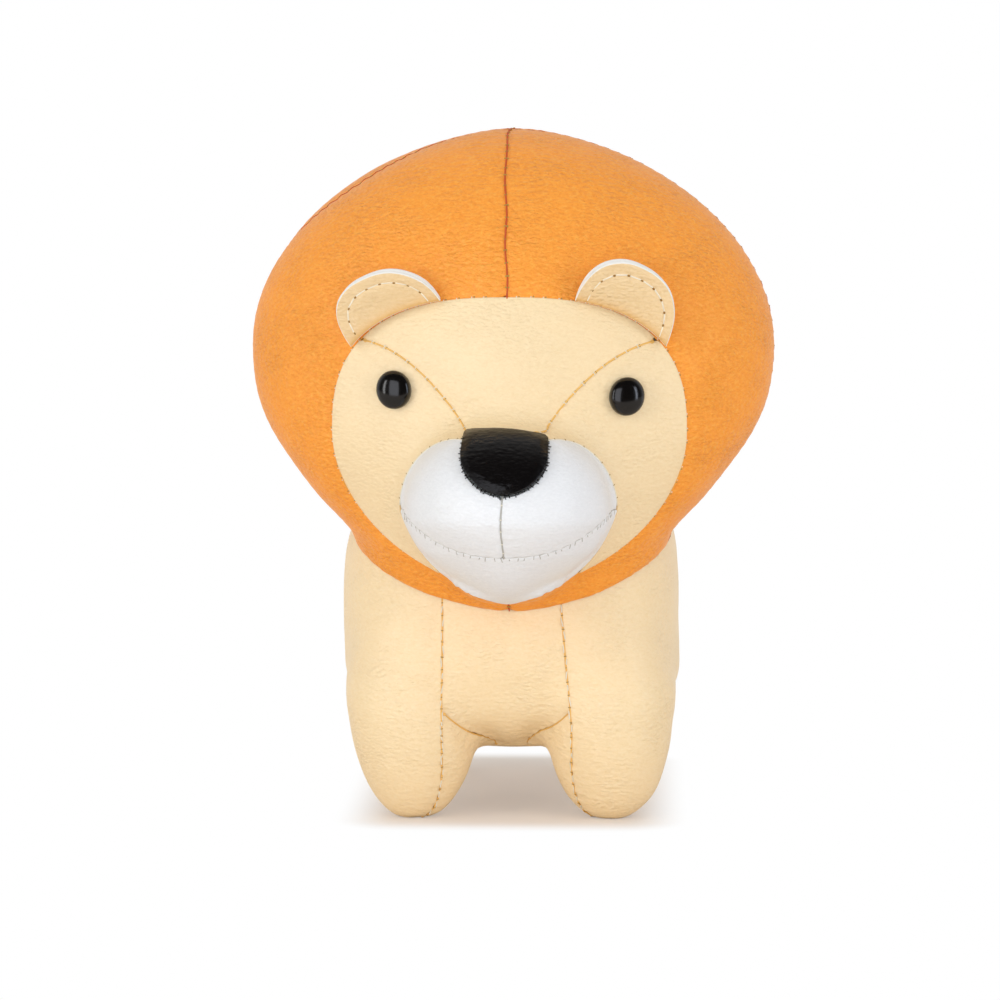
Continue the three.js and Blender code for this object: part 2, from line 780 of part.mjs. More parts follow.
function earPieces(side, own) {
  const group = earFrame(side);
  const outline = curvePoints(outlineSteps, (t) => {
    const [c, s] = [Math.cos(Math.PI * t), Math.sin(Math.PI * t)];
    const rise = earHeight * raised(s, 2 / earRound_share);
    const across = earHalfWidth * Math.sign(c) * raised(c, 2 / earRound_share);
    return [across, rise];
  });
  const shape = new THREE.Shape(outline);
  for (const [ply, low] of [["front", half], ["back", -half - earPly]]) {
    const geometry = new THREE.ExtrudeGeometry(shape, { depth: earPly, bevelEnabled: false });
    geometry.translate(0, 0, low);
    group.add(named(`ear_${own}_${ply}`, geometryOf(solid(geometry)), EAR));
  }
  return group;
}

// Body panels

const bodyReach = torsoHalfWidth + overrun;
const bodyBox = new THREE.Box3(
  new THREE.Vector3(-bodyReach, torsoMidY - torsoHalfLength - overrun, -footFlat - overrun),
  new THREE.Vector3(
    bodyReach,
    torsoMidY + torsoHalfLength + overrun,
    torsoMidZ + torsoHalfHeight + overrun,
  ),
);
const nearFoot = (distance) => Math.abs(distance) < legHalfWidth / 2;
const nearFeet = (y) => nearFoot(y - frontLegY) || nearFoot(y - rearLegY);
const bodyForm = meshForm(bodyField, [
  gridLinesAcross(bodyBox.max.x, bodyCell, footCell, (x) => nearFoot(x - legX)),
  gridLines(bodyBox.min.y, bodyBox.max.y, bodyCell, footCell, nearFeet),
  gridLines(bodyBox.min.z, bodyBox.max.z, bodyCell, footCell, (z) => z < footSeamZ),
]);

// The room that the head needs: the head's own form, with each place pushed out by how far
// turning and nodding the head can carry it through its surface.
function headRoom() {
  const turn = radians(neckTurnDeg);
  const nod = radians(neckNodDeg);
  const needed = (at, normal) => {
    const arm = at.clone().sub(neckPoint);
    const turned = Math.abs(Z.clone().cross(arm).dot(normal)) * turn;
    const nodded = Math.abs(X.clone().cross(arm).dot(normal)) * nod;
    return -(neckPlay + turned + nodded);
  };
  return drawnIn(headForm, needed);
}

// The chest and belly strip: straight edges, and a point under the tail.
function stripPrism(change) {
  const endY = torsoMidY + torsoHalfLength;
  const right = curvePoints(outlineSteps / 2, (t) => {
    const angle = (Math.PI / 2) * t;
    return [
      stripHalfWidth * Math.cos(angle),
      endY - stripTaper + stripTaper * Math.sin(angle),
    ];
  });
  const left = right.map((p) => new THREE.Vector2(-p.x, p.y)).reverse().slice(1);
  const frontY = bodyBox.min.y;
  const outline = [
    new THREE.Vector2(-stripHalfWidth, frontY),
    new THREE.Vector2(stripHalfWidth, frontY),
    ...right,
    ...left,
  ];
  const wide = prism(Z, grown(outline, change), bodyBox.min.z, bodyBox.max.z);
  const side = [
    new THREE.Vector2(bodyBox.min.y - overrun, bodyBox.min.z - overrun),
    new THREE.Vector2(bodyBox.max.y + overrun, bodyBox.min.z - overrun),
    new THREE.Vector2(bodyBox.max.y + overrun, stripTopZ),
    new THREE.Vector2(stripNeckY, stripTopZ),
    new THREE.Vector2(stripNeckY, bodyBox.max.z + overrun),
    new THREE.Vector2(bodyBox.min.y - overrun, bodyBox.max.z + overrun),
  ];
  return wide.intersect(prism(X, grown(side, change), -bodyReach, bodyReach));
}

// The region of one inner leg panel: inside the leg seam, under the slanting edge on the chest.
function innerLegPrism(side, legY, change) {
  const bend = curvePoints(outlineSteps / 4, (t) => {
    const angle = (Math.PI / 2) * t;
    return [
      footSeamX - (footSeamX - stripHalfWidth) * Math.cos(angle),
      footSeamZ * (1 - Math.sin(angle)),
    ];
  });
  const outline = [
    new THREE.Vector2(0, crotchZ - crotchSlope_share * stripHalfWidth),
    new THREE.Vector2(0, bodyBox.min.z - overrun),
    new THREE.Vector2(footSeamX, bodyBox.min.z - overrun),
    ...bend.reverse(),
    new THREE.Vector2(stripHalfWidth, crotchZ),
  ];
  const placed = outline.map((p) => new THREE.Vector2(side * p.x, p.y));
  if (side < 0) placed.reverse();
  const frontal = prism(Y, grown(placed, change), bodyBox.min.y, bodyBox.max.y);
  const round = curvePoints(outlineSteps, (t) => {
    const angle = 2 * Math.PI * t;
    return [side * legX + legRoom * Math.cos(angle), legY + legRoom * Math.sin(angle)];
  }).slice(0, -1);
  return frontal.intersect(
    prism(Z, grown(round, change), bodyBox.min.z - overrun, bodyBox.max.z),
  );
}

const legPlaces = [
  ["front_left", 1, frontLegY],
  ["front_right", -1, frontLegY],
  ["rear_left", 1, rearLegY],
  ["rear_right", -1, rearLegY],
];

// The space of one leg's stuffing.
function legBlock(side, legY, change) {
  const reach = legRoom + change;
  const [near, far] = [side * (legX - reach), side * (legX + reach)];
  return block(
    new THREE.Vector3(Math.min(near, far), legY - reach, bodyBox.min.z - overrun),
    new THREE.Vector3(Math.max(near, far), legY + reach, bodyLegTop + change),
  );
}

function bodyPieces() {
  const floor = block(
    new THREE.Vector3(-bodyReach, bodyBox.min.y - overrun, bodyBox.min.z - overrun),
    new THREE.Vector3(bodyReach, bodyBox.max.y + overrun, 0),
  );
  const room = headRoom().add(neckHollow).add(floor);
  const outer = drawnIn(bodyForm, 0);
  const inner = drawnIn(bodyForm, skin);
  const shell = outer.subtract(inner).subtract(room);
  const legRegions = legPlaces.map(([, side, legY]) => innerLegPrism(side, legY, half));
  const besideLegs = legRegions.reduce((s, region) => s.subtract(region), shell);
  const sides = besideLegs.subtract(stripPrism(half));
  const group = new THREE.Group();
  group.add(
    piece("side_left", sides.intersect(besideMiddle(1, bodyBox)), BODY),
    piece("side_right", sides.intersect(besideMiddle(-1, bodyBox)), BODY),
    piece("chest_belly_strip", besideLegs.intersect(stripPrism(-half)), BODY),
  );
  const stuffing = drawnIn(bodyForm, skin + fitGap).subtract(room);
  const legBlocks = legPlaces.map(([, side, legY]) => legBlock(side, legY, half));
  const torso = legBlocks.reduce((s, leg) => s.subtract(leg), stuffing);
  group.add(piece("torso_stuffing", torso, STUFFING));
  for (const [place, side, legY] of legPlaces) {
    const leg = stuffing.intersect(legBlock(side, legY, -half));
    const panel = shell.intersect(innerLegPrism(side, legY, -half));
    group.add(piece(`leg_stuffing_${place}`, leg, STUFFING));
    group.add(piece(`inner_leg_${place}`, panel, BODY));
  }
  group.add(named("neck_stuffing", geometryOf(neckSphere(neckBall)), STUFFING));
  return group;
}

// Tail: its frame hangs from the rump with Y down the strap and Z away from the body.
function tailFrame() {
  const rumpAt = (z) =>
    surfaceAlong(bodyField, new THREE.Vector3(0, torsoMidY, z), Y, torsoHalfLength + overrun);
  const root = rumpAt(tailRootZ);
  const group = new THREE.Group();
  group.position.copy(root).add(new THREE.Vector3(0, tailRoomY, 0));
  const widest = torsoMidY + torsoHalfLength + tailRoomY;
  const lean = Math.atan((widest - group.position.y) / (tailRootZ - torsoMidZ));
  group.rotation.x = -Math.PI / 2 + lean;
  return group;
}

function tuftShape() {
  const shape = new THREE.Shape();
  const start = tailLength - tuftLap;
  const bulgeX = tuftHalfWidth + tailHalfWidth / 2;
  const bulgeY = start + tuftLength / 2;
  shape.moveTo(-tailHalfWidth, start);
  shape.lineTo(tailHalfWidth, start);
  shape.quadraticCurveTo(bulgeX, bulgeY, 0, start + tuftLength);
  shape.quadraticCurveTo(-bulgeX, bulgeY, -tailHalfWidth, start);
  return shape;
}

function tailPieces() {
  const group = tailFrame();
  const strap = new THREE.Shape();
  strap.moveTo(-tailHalfWidth, 0);
  strap.lineTo(tailHalfWidth, 0);
  strap.lineTo(tailHalfWidth, tailLength);
  strap.lineTo(-tailHalfWidth, tailLength);
  strap.closePath();
  const plies = [
    ["tail_strap_front", strap, -half - tailPly, BODY],
    ["tail_strap_back", strap, half, BODY],
    ["tail_tuft_front", tuftShape(), -half - 2 * tailPly - seamGap, MANE],
    ["tail_tuft_back", tuftShape(), half + tailPly + seamGap, MANE],
  ];
  for (const [name, shape, low, look] of plies) {
    const geometry = new THREE.ExtrudeGeometry(shape, {
      depth: tailPly,
      bevelEnabled: false,
      curveSegments: outlineSteps / 2,
    });
    geometry.translate(0, 0, low);
    group.add(named(name, geometryOf(solid(geometry)), look));
  }
  return group;
}

// The toy: body, head and tail, set so that its middle stands over the origin
const lion = new THREE.Group();
const head = headPieces();
for (const [side, own] of [[1, "left"], [-1, "right"]])
  head.add(eyePieces(side, own), earPieces(side, own));
lion.add(head, bodyPieces(), tailPieces());
lion.updateMatrixWorld(true);
const extent = new THREE.Box3().setFromObject(lion, true);
lion.position.y = -(extent.min.y + extent.max.y) / 2;

export default lion;
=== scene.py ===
"""A stuffed lion sewn from leatherette panels, standing on four stub legs.

The panels are cut from two smooth forms, the head and the body, along the lines of the seams.
Lengths are in millimetres until a piece is made. The lion faces -Y; its own left is +X.
"""

import json
import math
from types import SimpleNamespace

import bpy
import numpy as np
from mathutils import Matrix, Vector, noise
from mathutils.kdtree import KDTree


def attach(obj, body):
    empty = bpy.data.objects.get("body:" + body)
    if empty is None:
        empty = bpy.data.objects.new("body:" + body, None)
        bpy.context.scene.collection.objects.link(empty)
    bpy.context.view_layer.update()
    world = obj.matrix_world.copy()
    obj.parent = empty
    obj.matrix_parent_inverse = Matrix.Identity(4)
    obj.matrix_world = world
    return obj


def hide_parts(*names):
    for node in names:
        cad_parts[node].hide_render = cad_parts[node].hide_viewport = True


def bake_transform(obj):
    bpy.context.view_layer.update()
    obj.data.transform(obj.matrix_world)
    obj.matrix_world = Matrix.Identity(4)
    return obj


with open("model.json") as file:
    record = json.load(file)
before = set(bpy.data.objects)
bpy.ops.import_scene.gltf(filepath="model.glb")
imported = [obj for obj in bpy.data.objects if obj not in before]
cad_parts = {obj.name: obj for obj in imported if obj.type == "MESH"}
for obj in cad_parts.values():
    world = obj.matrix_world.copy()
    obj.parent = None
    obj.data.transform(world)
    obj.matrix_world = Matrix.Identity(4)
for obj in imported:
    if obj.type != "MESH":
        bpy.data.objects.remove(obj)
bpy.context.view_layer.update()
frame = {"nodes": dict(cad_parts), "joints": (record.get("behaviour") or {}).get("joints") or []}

MM = 0.001
OWN_SIDES = ((1, "left"), (-1, "right"))

# Places and sizes, as in the part's source
SKIN = 1.0
FIT_GAP = 0.3
MANE_HALF_WIDTH, DOME_MID_Z, CROWN_HEIGHT, JAW_DROP = 52.9, 95.0, 43.8, 53.2
FACE_DEPTH, NAPE_DEPTH, RIM_LEAN, MANE_ROUND, DOME_ROUND = 34.0, 28.0, 0.2, 1.685, 2.2
JOWL_PINCH, JOWL_PLACE, JOWL_SPREAD = 0.109, 0.626, 0.234
MUZZLE_MID_Z = DOME_MID_Z - 0.587 * JAW_DROP
MUZZLE_HALF_WIDTH, MUZZLE_DEPTH, MUZZLE_MID_Y, BRIDGE_HEIGHT = 20.4, 23.0, -32.5, 18.0
CHIN_DROP, CHIN_SLOPE, CHIN_SOFT, MUZZLE_ROUND, MUZZLE_BLEND = 18.2, 0.1, 0.12, 2.3, 5.0
FACE_MID_Z = DOME_MID_Z - 0.305 * JAW_DROP
FACE_HALF_WIDTH, FACE_TOP, FACE_DROP, FACE_TOP_ROUND, FACE_DROP_ROUND = 34.9, 26.8, 30.5, 2.6, 1.9
BROW_HALF_WIDTH, BROW_TOP_Z = 29.5, FACE_MID_Z + 18.4
BRIDGE_HALF_WIDTH, BRIDGE_TOP_Z = 8.0, MUZZLE_MID_Z + 16.4
MUZZLE_SEAM_RISE, MUZZLE_SHOULDER, MUZZLE_SEAM_Y, CHIN_MARGIN = 15.0, 8.6, -27.0, 1.0
MOUTH_END_Z, MOUTH_HALF_WIDTH, MOUTH_DIP = MUZZLE_MID_Z + 0.4, 20.4, 7.8
NOSE_TOP_Z, NOSE_SIDE_Z = MUZZLE_MID_Z + 15.8, MUZZLE_MID_Z + 12.0
NOSE_TOP_HALF_WIDTH, NOSE_HALF_WIDTH, NOSE_DROP, NOSE_ARCH, NOSE_ROUND = 7.9, 8.1, 6.7, 1.6, 1.8
NOSE_TILT, NOSE_RISE, NOSE_REACH_Y = math.radians(3), 0.8, -36.0
NECK = np.array([0, -2, DOME_MID_Z - JAW_DROP + 13])
NECK_BALL = 14.5
EYE_X, EYE_OFF, EYE_Z, EYE_ASKEW = 22.4, 0.4, FACE_MID_Z + 8.1, 0.6
EYE_RADIUS, EYE_HEIGHT, EYE_RIM, EYE_BEVEL, STEM_RADIUS, STEM_LENGTH = 3.6, 2.7, 0.7, 0.15, 1.5, 6.5
EAR_PLY, EAR_HALF_WIDTH, EAR_HEIGHT, EAR_ROUND = 0.9, 9.9, 12.8, 2.35
EAR_INNER, EAR_OUTER = (13.4, FACE_MID_Z + 25.6), (30.8, FACE_MID_Z + 17.3)
EAR_LEAN = math.radians(42)
TORSO_HALF_WIDTH, TORSO_HALF_LENGTH, TORSO_MID_Y = 35.0, 41.0, 20.0
TORSO_MID_Z, TORSO_HALF_HEIGHT = 42.0, 30.0
LEG_X, FRONT_LEG_Y, REAR_LEG_Y, LEG_HALF_WIDTH, LEG_TOP_Z = 19.5, -8.4, 47.0, 13.4, 22.0
FOOT_ROUND, FOOT_FLAT, LEG_BLEND, LEG_ROOM = 1.65, 0.7, 4.0, 16.8
STRIP_HALF_WIDTH, STRIP_TAPER, STRIP_TOP_Z, STRIP_NECK_Y = 13.5, 16.0, 42.0, -8.0
CROTCH_Z, CROTCH_SLOPE, FOOT_SEAM_X, FOOT_SEAM_Z = 22.8, 0.905, 18.0, 12.0
TAIL_PLY, TAIL_ROOT_Z, TAIL_HALF_WIDTH, TAIL_LENGTH = 0.9, 55.0, 4.0, 27.0
TUFT_LENGTH, TUFT_HALF_WIDTH, TUFT_LAP, TAIL_ROOM_Y = 19.0, 6.5, 5.0, 1.7

# The frame lies this far from the part's source along Y
SHIFT = np.array([0, frame["joints"][0]["pos_m"][1] / MM - NECK[1], 0])

# Sewing
SEAM_HALF = 0.2  # from the middle of a seam to where a panel starts to roll into it
STITCH_PITCH = 2.7
THREAD = 0.27  # diameter of the sewing thread
PUCKER_REACH = 9.0  # from a seam to where no pucker is left

# By seam: its half width where that differs, how deep a panel pulls in there, how much it puckers,
# and how strongly its edges are painted in the seam colour: dyed backing and painted shade in one
HALF = dict(face=0.16, muzzle=0.16, muzzle_back=0.16, brow=0.17, mouth=0.17, leg_ring=0.16,
            nose=0.3, nose_top=0.22)
DIP = dict(brow=0.3, face=0.06, muzzle=0.12, muzzle_back=0.1, mouth=0.4, middle=0.3, rim=0.55,
           strip=0.42, leg=0.36, crotch=1.0, leg_ring=0.05, nose=0.5, nose_top=0.3)
PUCKER = dict(brow=0.07, middle=0.08, rim=0.12, strip=0.09, leg=0.1, crotch=0.1, mouth=0.08)
SEAM_DYE_AND_SHADE = dict(brow=0.9, middle=0.9, rim=0.9, strip=0.9, leg=0.9, crotch=0.9, mouth=0.6,
            muzzle=0.4, neck=0.4)

# How an edge rolls over: steps outwards, and down. A panel's edge turns into its seam; an ear's or
# the tail's is cut raw.
EDGE_ROLL = [(0.07, 0.02), (0.12, 0.09), (0.15, 0.28), (0.15, 0.7)]
RAW_EDGE = [(0.05, 0.03), (0.09, 0.12), (0.09, 0.45), (0.07, 0.8)]

CELL, STUFFING_CELL = 0.85, 2.6  # spacing of the points on a panel and on the stuffing
BLOCK, BLOCK_REACH = 4, 1.4  # cells along a block, and how far from its middle a surface can cross it
SNAP = 0.3 * CELL  # points this near a seam move onto it
LEAST_STEEP = 1 / (4 * MANE_HALF_WIDTH)

scene = bpy.context.scene


# Forms


def power(value, exponent):
    return np.abs(value) ** exponent


def hump(offset, width):
    """1 where the offset is zero, falling away softly on both sides."""
    return np.exp(-((offset / width) ** 2))


def clipped(value):
    return np.clip(value, 0, 1)


def step(value):
    """From 0 to 1, with soft ends."""
    value = clipped(value)
    return value**2 * (3 - 2 * value)


def unit(vectors):
    return vectors / np.maximum(np.linalg.norm(vectors, axis=-1, keepdims=True), 1e-9)


def slope(field, points, probe=0.02):
    return np.stack(
        [(field(points + s) - field(points - s)) / (2 * probe) for s in probe * np.eye(3)],
        axis=1,
    )


def distance_from(measure):
    """A measure that is 1 on the surface, turned into a distance."""

    def root(points):
        return np.sqrt(measure(*points.T))

    def distance(points):
        steep = np.linalg.norm(slope(root, points), axis=1)
        return (root(points) - 1) / np.maximum(steep, LEAST_STEEP)

    return distance


def joined(a, b, width):
    """Two fields as one, with a soft corner of the given width."""

    def field(points):
        first, second = a(points), b(points)
        near = np.maximum(width - np.abs(first - second), 0)
        return np.minimum(first, second) - near**2 / (4 * width)

    return field


def dome(x, y, z):
    rise = z - DOME_MID_Z
    lift = rise / np.where(rise > 0, CROWN_HEIGHT, JAW_DROP)
    depth = y - RIM_LEAN * rise
    width = MANE_HALF_WIDTH * (1 - JOWL_PINCH * hump(lift + JOWL_PLACE, JOWL_SPREAD))
    reach = np.where(depth < 0, FACE_DEPTH, NAPE_DEPTH)
    return power(x / width, MANE_ROUND) + lift**2 + power(depth / reach, DOME_ROUND)


def muzzle_lobe(x, y, z):
    rise = z - MUZZLE_MID_Z
    soft = np.hypot(rise / CHIN_DROP, CHIN_SOFT) - CHIN_SOFT
    depth = y - MUZZLE_MID_Y + CHIN_SLOPE * np.minimum(rise, 0)
    return (
        power(x / MUZZLE_HALF_WIDTH, MUZZLE_ROUND)
        + power(depth / MUZZLE_DEPTH, MUZZLE_ROUND)
        + np.where(rise > 0, (rise / BRIDGE_HEIGHT) ** 2, soft / (math.hypot(1, CHIN_SOFT) - CHIN_SOFT))
    )


def torso(x, y, z):
    return (
        power(x / TORSO_HALF_WIDTH, 3)
        + power((y - TORSO_MID_Y) / TORSO_HALF_LENGTH, 3.5)
        + power((z - TORSO_MID_Z) / TORSO_HALF_HEIGHT, 3)
    )


def legs_at(leg_y):
    def leg(x, y, z):
        return (
            power((np.abs(x) - LEG_X) / LEG_HALF_WIDTH, 2.2)
            + power((y - leg_y) / LEG_HALF_WIDTH, 2.2)
            + power((z - LEG_TOP_Z) / (LEG_TOP_Z + FOOT_FLAT), FOOT_ROUND)
        )

    return distance_from(leg)


head_field = joined(distance_from(dome), distance_from(muzzle_lobe), MUZZLE_BLEND)
front_field = joined(distance_from(torso), legs_at(FRONT_LEG_Y), LEG_BLEND)
body_field = joined(front_field, legs_at(REAR_LEG_Y), LEG_BLEND)
HEAD_SPAN = (-58.0, -62.0, 36.0), (58.0, 44.0, 144.0)
BODY_SPAN = (-41.0, -27.0, -4.0), (41.0, 67.0, 77.0)


def sampled(field, axes):
    """The field on a grid, worked out only in the blocks that its surface may go through."""
    middles = [a.reshape(-1, BLOCK).mean(axis=1) for a in axes]
    grid = np.stack(np.meshgrid(*middles, indexing="ij"), axis=-1).reshape(-1, 3)
    values = field(grid).reshape([len(m) for m in middles])
    for axis in range(3):
        values = values.repeat(BLOCK, axis)
    near = np.abs(values) < BLOCK_REACH * BLOCK * (axes[0][1] - axes[0][0])
    places = np.argwhere(near)
    values[near] = field(np.stack([axes[m][places[:, m]] for m in range(3)], axis=1))
    return values


def drawn_on(field, points, rounds):
    for _ in range(rounds):
        steep = slope(field, points)
        points = points - (field(points) / (steep**2).sum(axis=1))[:, None] * steep
    return points


def evened(points, quads):
    """Each point moved to the middle of its neighbours."""
    total, count = np.zeros_like(points), np.zeros(len(points))
    for a, b in ((0, 1), (1, 2), (2, 3), (3, 0)):
        for near, far in ((quads[:, a], quads[:, b]), (quads[:, b], quads[:, a])):
            np.add.at(total, near, points[far])
            np.add.at(count, near, 1)
    return total / count[:, None]


def meshed(field, span, cell, rounds=2):
    """A field's surface, with one point in each cell of a grid that it goes through."""
    sizes = [BLOCK * math.ceil((b - a) / cell / BLOCK) for a, b in zip(*span)]
    axes = [a + cell * np.arange(n) for a, n in zip(span[0], sizes)]
    values = sampled(field, axes)
    total = np.zeros((*values.shape, 3))
    hits = np.zeros(values.shape)
    crossed = []
    for axis in range(3):
        near = np.argwhere(np.diff((values < 0).astype(int), axis=axis) != 0)
        far = near.copy()
        far[:, axis] += 1
        a, b = values[tuple(near.T)], values[tuple(far.T)]
        spots = np.stack([axes[m][near[:, m]] for m in range(3)], axis=1)
        spots[:, axis] += cell * a / (a - b)
        around = []
        for du, dv in ((0, 0), (1, 0), (1, 1), (0, 1)):
            place = near.copy()
            place[:, (axis + 1) % 3] -= du
            place[:, (axis + 2) % 3] -= dv
            np.add.at(total, tuple(place.T), spots)
            np.add.at(hits, tuple(place.T), 1)
            around.append(tuple(place.T))
        crossed.append((around, a < 0))
    number = np.zeros(values.shape, int)
    number[hits > 0] = np.arange(np.count_nonzero(hits))
    points = total[hits > 0] / hits[hits > 0][:, None]
    quads = []
    for around, inside in crossed:
        corners = np.stack([number[place] for place in around], axis=1)
        quads.append(np.where(inside[:, None], corners, corners[:, ::-1]))
    quads = np.concatenate(quads)
    points = drawn_on(field, points, 2)
    for _ in range(rounds):
        points = drawn_on(field, evened(points, quads), 1)
    a, b, c, d = points[quads.T]
    short = (np.linalg.norm(a - c, axis=1) <= np.linalg.norm(b - d, axis=1))[:, None]
    first = np.where(short, quads[:, [0, 1, 2]], quads[:, [0, 1, 3]])
    second = np.where(short, quads[:, [0, 2, 3]], quads[:, [1, 2, 3]])
    return SimpleNamespace(
        field=field,
        points=points,
        triangles=np.concatenate([first, second]),
        normals=unit(slope(field, points)),
    )


# Seams: each has a height that is zero on it and negative on its own side


def seam(form, height, label):
    """The distance from a seam along the form's surface, and the direction away from its side."""
    steep = slope(height, form.points)
    flat = steep - (steep * form.normals).sum(axis=1, keepdims=True) * form.normals
    least = 0.25 * np.linalg.norm(steep, axis=1) + 1e-9
    length = np.maximum(np.linalg.norm(flat, axis=1), least)
    return SimpleNamespace(
        value=height(form.points) / length,
        way=flat / length[:, None],
        label=np.full(len(form.points), label, dtype=object),
    )


def beyond(region):
    return SimpleNamespace(value=-region.value, way=-region.way, label=region.label)


def chosen(a, b, first):
    return SimpleNamespace(
        value=np.where(first, a.value, b.value),
        way=np.where(first[:, None], a.way, b.way),
        label=np.where(first, a.label, b.label),
    )


def within(first, *others):
    """What lies in all the regions."""
    for other in others:
        first = chosen(first, other, first.value >= other.value)
    return first


def either(a, b):
    return chosen(a, b, a.value <= b.value)


def cut(form, region):
    """The part of a form that a region holds, drawn back from its seams by half of each."""
    value = region.value + np.array([HALF.get(label, SEAM_HALF) for label in region.label])
    points = form.points.copy()
    close = np.abs(value) < SNAP
    points[close] -= value[close, None] * region.way[close]
    value[close] = 0
    corners = np.sign(value)[form.triangles]
    inside, outside = (corners < 0).any(axis=1), (corners > 0).any(axis=1)
    kept = form.triangles[inside & ~outside].tolist()
    crossings, extra, labels = {}, [], []

    def crossing(i, j):
        key = (min(i, j), max(i, j))
        if key not in crossings:
            crossings[key] = len(points) + len(extra)
            share = value[i] / (value[i] - value[j])
            extra.append(points[i] + share * (points[j] - points[i]))
            labels.append(region.label[i if value[i] > 0 else j])
        return crossings[key]

    for triangle in form.triangles[inside & outside].tolist():
        outline = []
        for i, j in zip(triangle, triangle[1:] + triangle[:1]):
            if value[i] <= 0:
                outline.append(i)
            if value[i] * value[j] < 0:
                outline.append(crossing(i, j))
        kept += [[outline[0], outline[k], outline[k + 1]] for k in range(1, len(outline) - 1)]
    points = np.concatenate([points, np.array(extra).reshape(-1, 3)])
    inset = np.concatenate([-value, np.zeros(len(extra))])
    label = np.concatenate([region.label, np.array(labels, dtype=object)])
    triangles = main_part(np.array(kept), len(points))
    used, triangles = np.unique(triangles, return_inverse=True)
    points, inset = points[used], inset[used]
    moved = inset < 1e-6
    points[moved] = drawn_on(form.field, points[moved], 1)
    return SimpleNamespace(
        points=points,
        triangles=triangles.reshape(-1, 3),
        normals=unit(slope(form.field, points)),
        inset=inset,
        label=label[used],
    )


def main_part(triangles, count):
    """The largest connected part of a mesh, without the crumbs that a slanting seam can leave."""
    group = np.arange(count)
    while True:
        least = group[triangles].min(axis=1)
        before = group.copy()
        for corner in range(3):
            np.minimum.at(group, triangles[:, corner], least)
        group = group[group]
        if (group == before).all():
            break
    names, sizes = np.unique(group[triangles[:, 0]], return_counts=True)
    return triangles[group[triangles[:, 0]] == names[sizes.argmax()]]


# Shells: a sheet of points with a thickness and rolled edges


def edges_of(triangles):
    return np.concatenate([triangles[:, [0, 1]], triangles[:, [1, 2]], triangles[:, [2, 0]]])


def open_edges(triangles):
    """The edges that only one triangle has, in that triangle's order."""
    pairs = edges_of(triangles)
    size = triangles.max() + 1
    lone = ~np.isin(pairs[:, 0] * size + pairs[:, 1], pairs[:, 1] * size + pairs[:, 0])
    return pairs[lone]


def edge_ways(points, normals, edges):
    """The direction out of the sheet at each point of its edge."""
    run = points[edges[:, 1]] - points[edges[:, 0]]
    out = np.cross(run, normals[edges].mean(axis=1))
    total = np.zeros_like(points)
    for end in range(2):
        np.add.at(total, edges[:, end], out)
    return unit(total)


def shell(points, triangles, normals, thickness, roll):
    """Points and faces of a closed sheet with its open edges rolled over, and those edges' points."""
    edges = open_edges(triangles)
    out = edge_ways(points, normals, edges)
    rim, edges = np.unique(edges, return_inverse=True)
    a, b = edges.reshape(-1, 2).T
    thickness = np.broadcast_to(thickness, len(points))[:, None]
    share = thickness[rim] / thickness.max()
    layers = [points]
    for towards, down in roll:
        layers.append(points[rim] + towards * out[rim] - down * share * normals[rim])
    layers.append(points - thickness * normals)
    starts = np.cumsum([0] + [len(layer) for layer in layers])
    faces = triangles.tolist() + (triangles[:, ::-1] + starts[-2]).tolist()
    rings = [rim] + [start + np.arange(len(rim)) for start in starts[1:-2]] + [starts[-2] + rim]
    for upper, lower in zip(rings, rings[1:]):
        faces += np.stack([upper[b], upper[a], lower[a], lower[b]], axis=1).tolist()
    return np.concatenate(layers), faces, rim


def made(name, points, faces, body, slot, material=None, dye_and_shade=None):
    """A finished piece from points in millimetres, in its slot's leatherette or another material."""
    mesh = bpy.data.meshes.new(name)
    points = np.maximum(points, (-np.inf, -np.inf, 0.0))  # nothing reaches below the floor
    mesh.from_pydata(((points + SHIFT) * MM).tolist(), [], faces)
    mesh.polygons.foreach_set("use_smooth", [True] * len(mesh.polygons))
    if dye_and_shade is not None:
        shown = mesh.attributes.new("seam_dye_and_shade", "FLOAT", "POINT")
        shown.data.foreach_set("value", dye_and_shade.astype(np.float32))
    mesh.materials.append(material or leathers[slot])
    piece = bpy.data.objects.new(name, mesh)
    scene.collection.objects.link(piece)
    if isinstance(body, str):
        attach(piece, body)
    else:
        a, b, start, end = body
        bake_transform(piece)
    return piece


# Edges and the runs along them


def chains(edges):
    """Edges joined end to end, as lists of points: the open stretches first, then the loops."""
    follows = dict(edges.tolist())
    left = set(follows)
    starts = sorted(left - set(follows.values()))
    found = []
    while left:
        chain = [starts.pop(0) if starts else min(left)]
        while chain[-1] in left:
            left.discard(chain[-1])
            chain.append(follows[chain[-1]])
        found.append(chain[:-1] if chain[0] == chain[-1] else chain)
    return found


def runs(sheet, label):
    """The stretches of a panel's edge along one seam, each as points, normals and ways out."""
    edges = open_edges(sheet.triangles)
    ways = edge_ways(sheet.points, sheet.normals, edges)
    own = (sheet.label[edges] == label).all(axis=1)
    stretches = [chain for chain in chains(edges[own]) if len(chain) > 3]
    return [(sheet.points[chain], sheet.normals[chain], ways[chain]) for chain in stretches]


def lengths(points):
    return np.concatenate([[0], np.cumsum(np.linalg.norm(np.diff(points, axis=0), axis=1))])


def between(at, along, values):
    """Points or directions read off a row of them, by their place along it."""
    return np.stack([np.interp(at, along, column) for column in values.T], axis=1)


def spaced(run, pitch, offset):
    """Places at a pitch along a run, with the normal there and the way ahead."""
    points, normals, _ = run
    along = lengths(points)
    at = np.arange(offset * pitch, along[-1] - 0.25 * pitch, pitch)
    ahead = between(at + 0.2, along, points) - between(at - 0.2, along, points)
    return between(at, along, points), unit(between(at, along, normals)), unit(ahead)


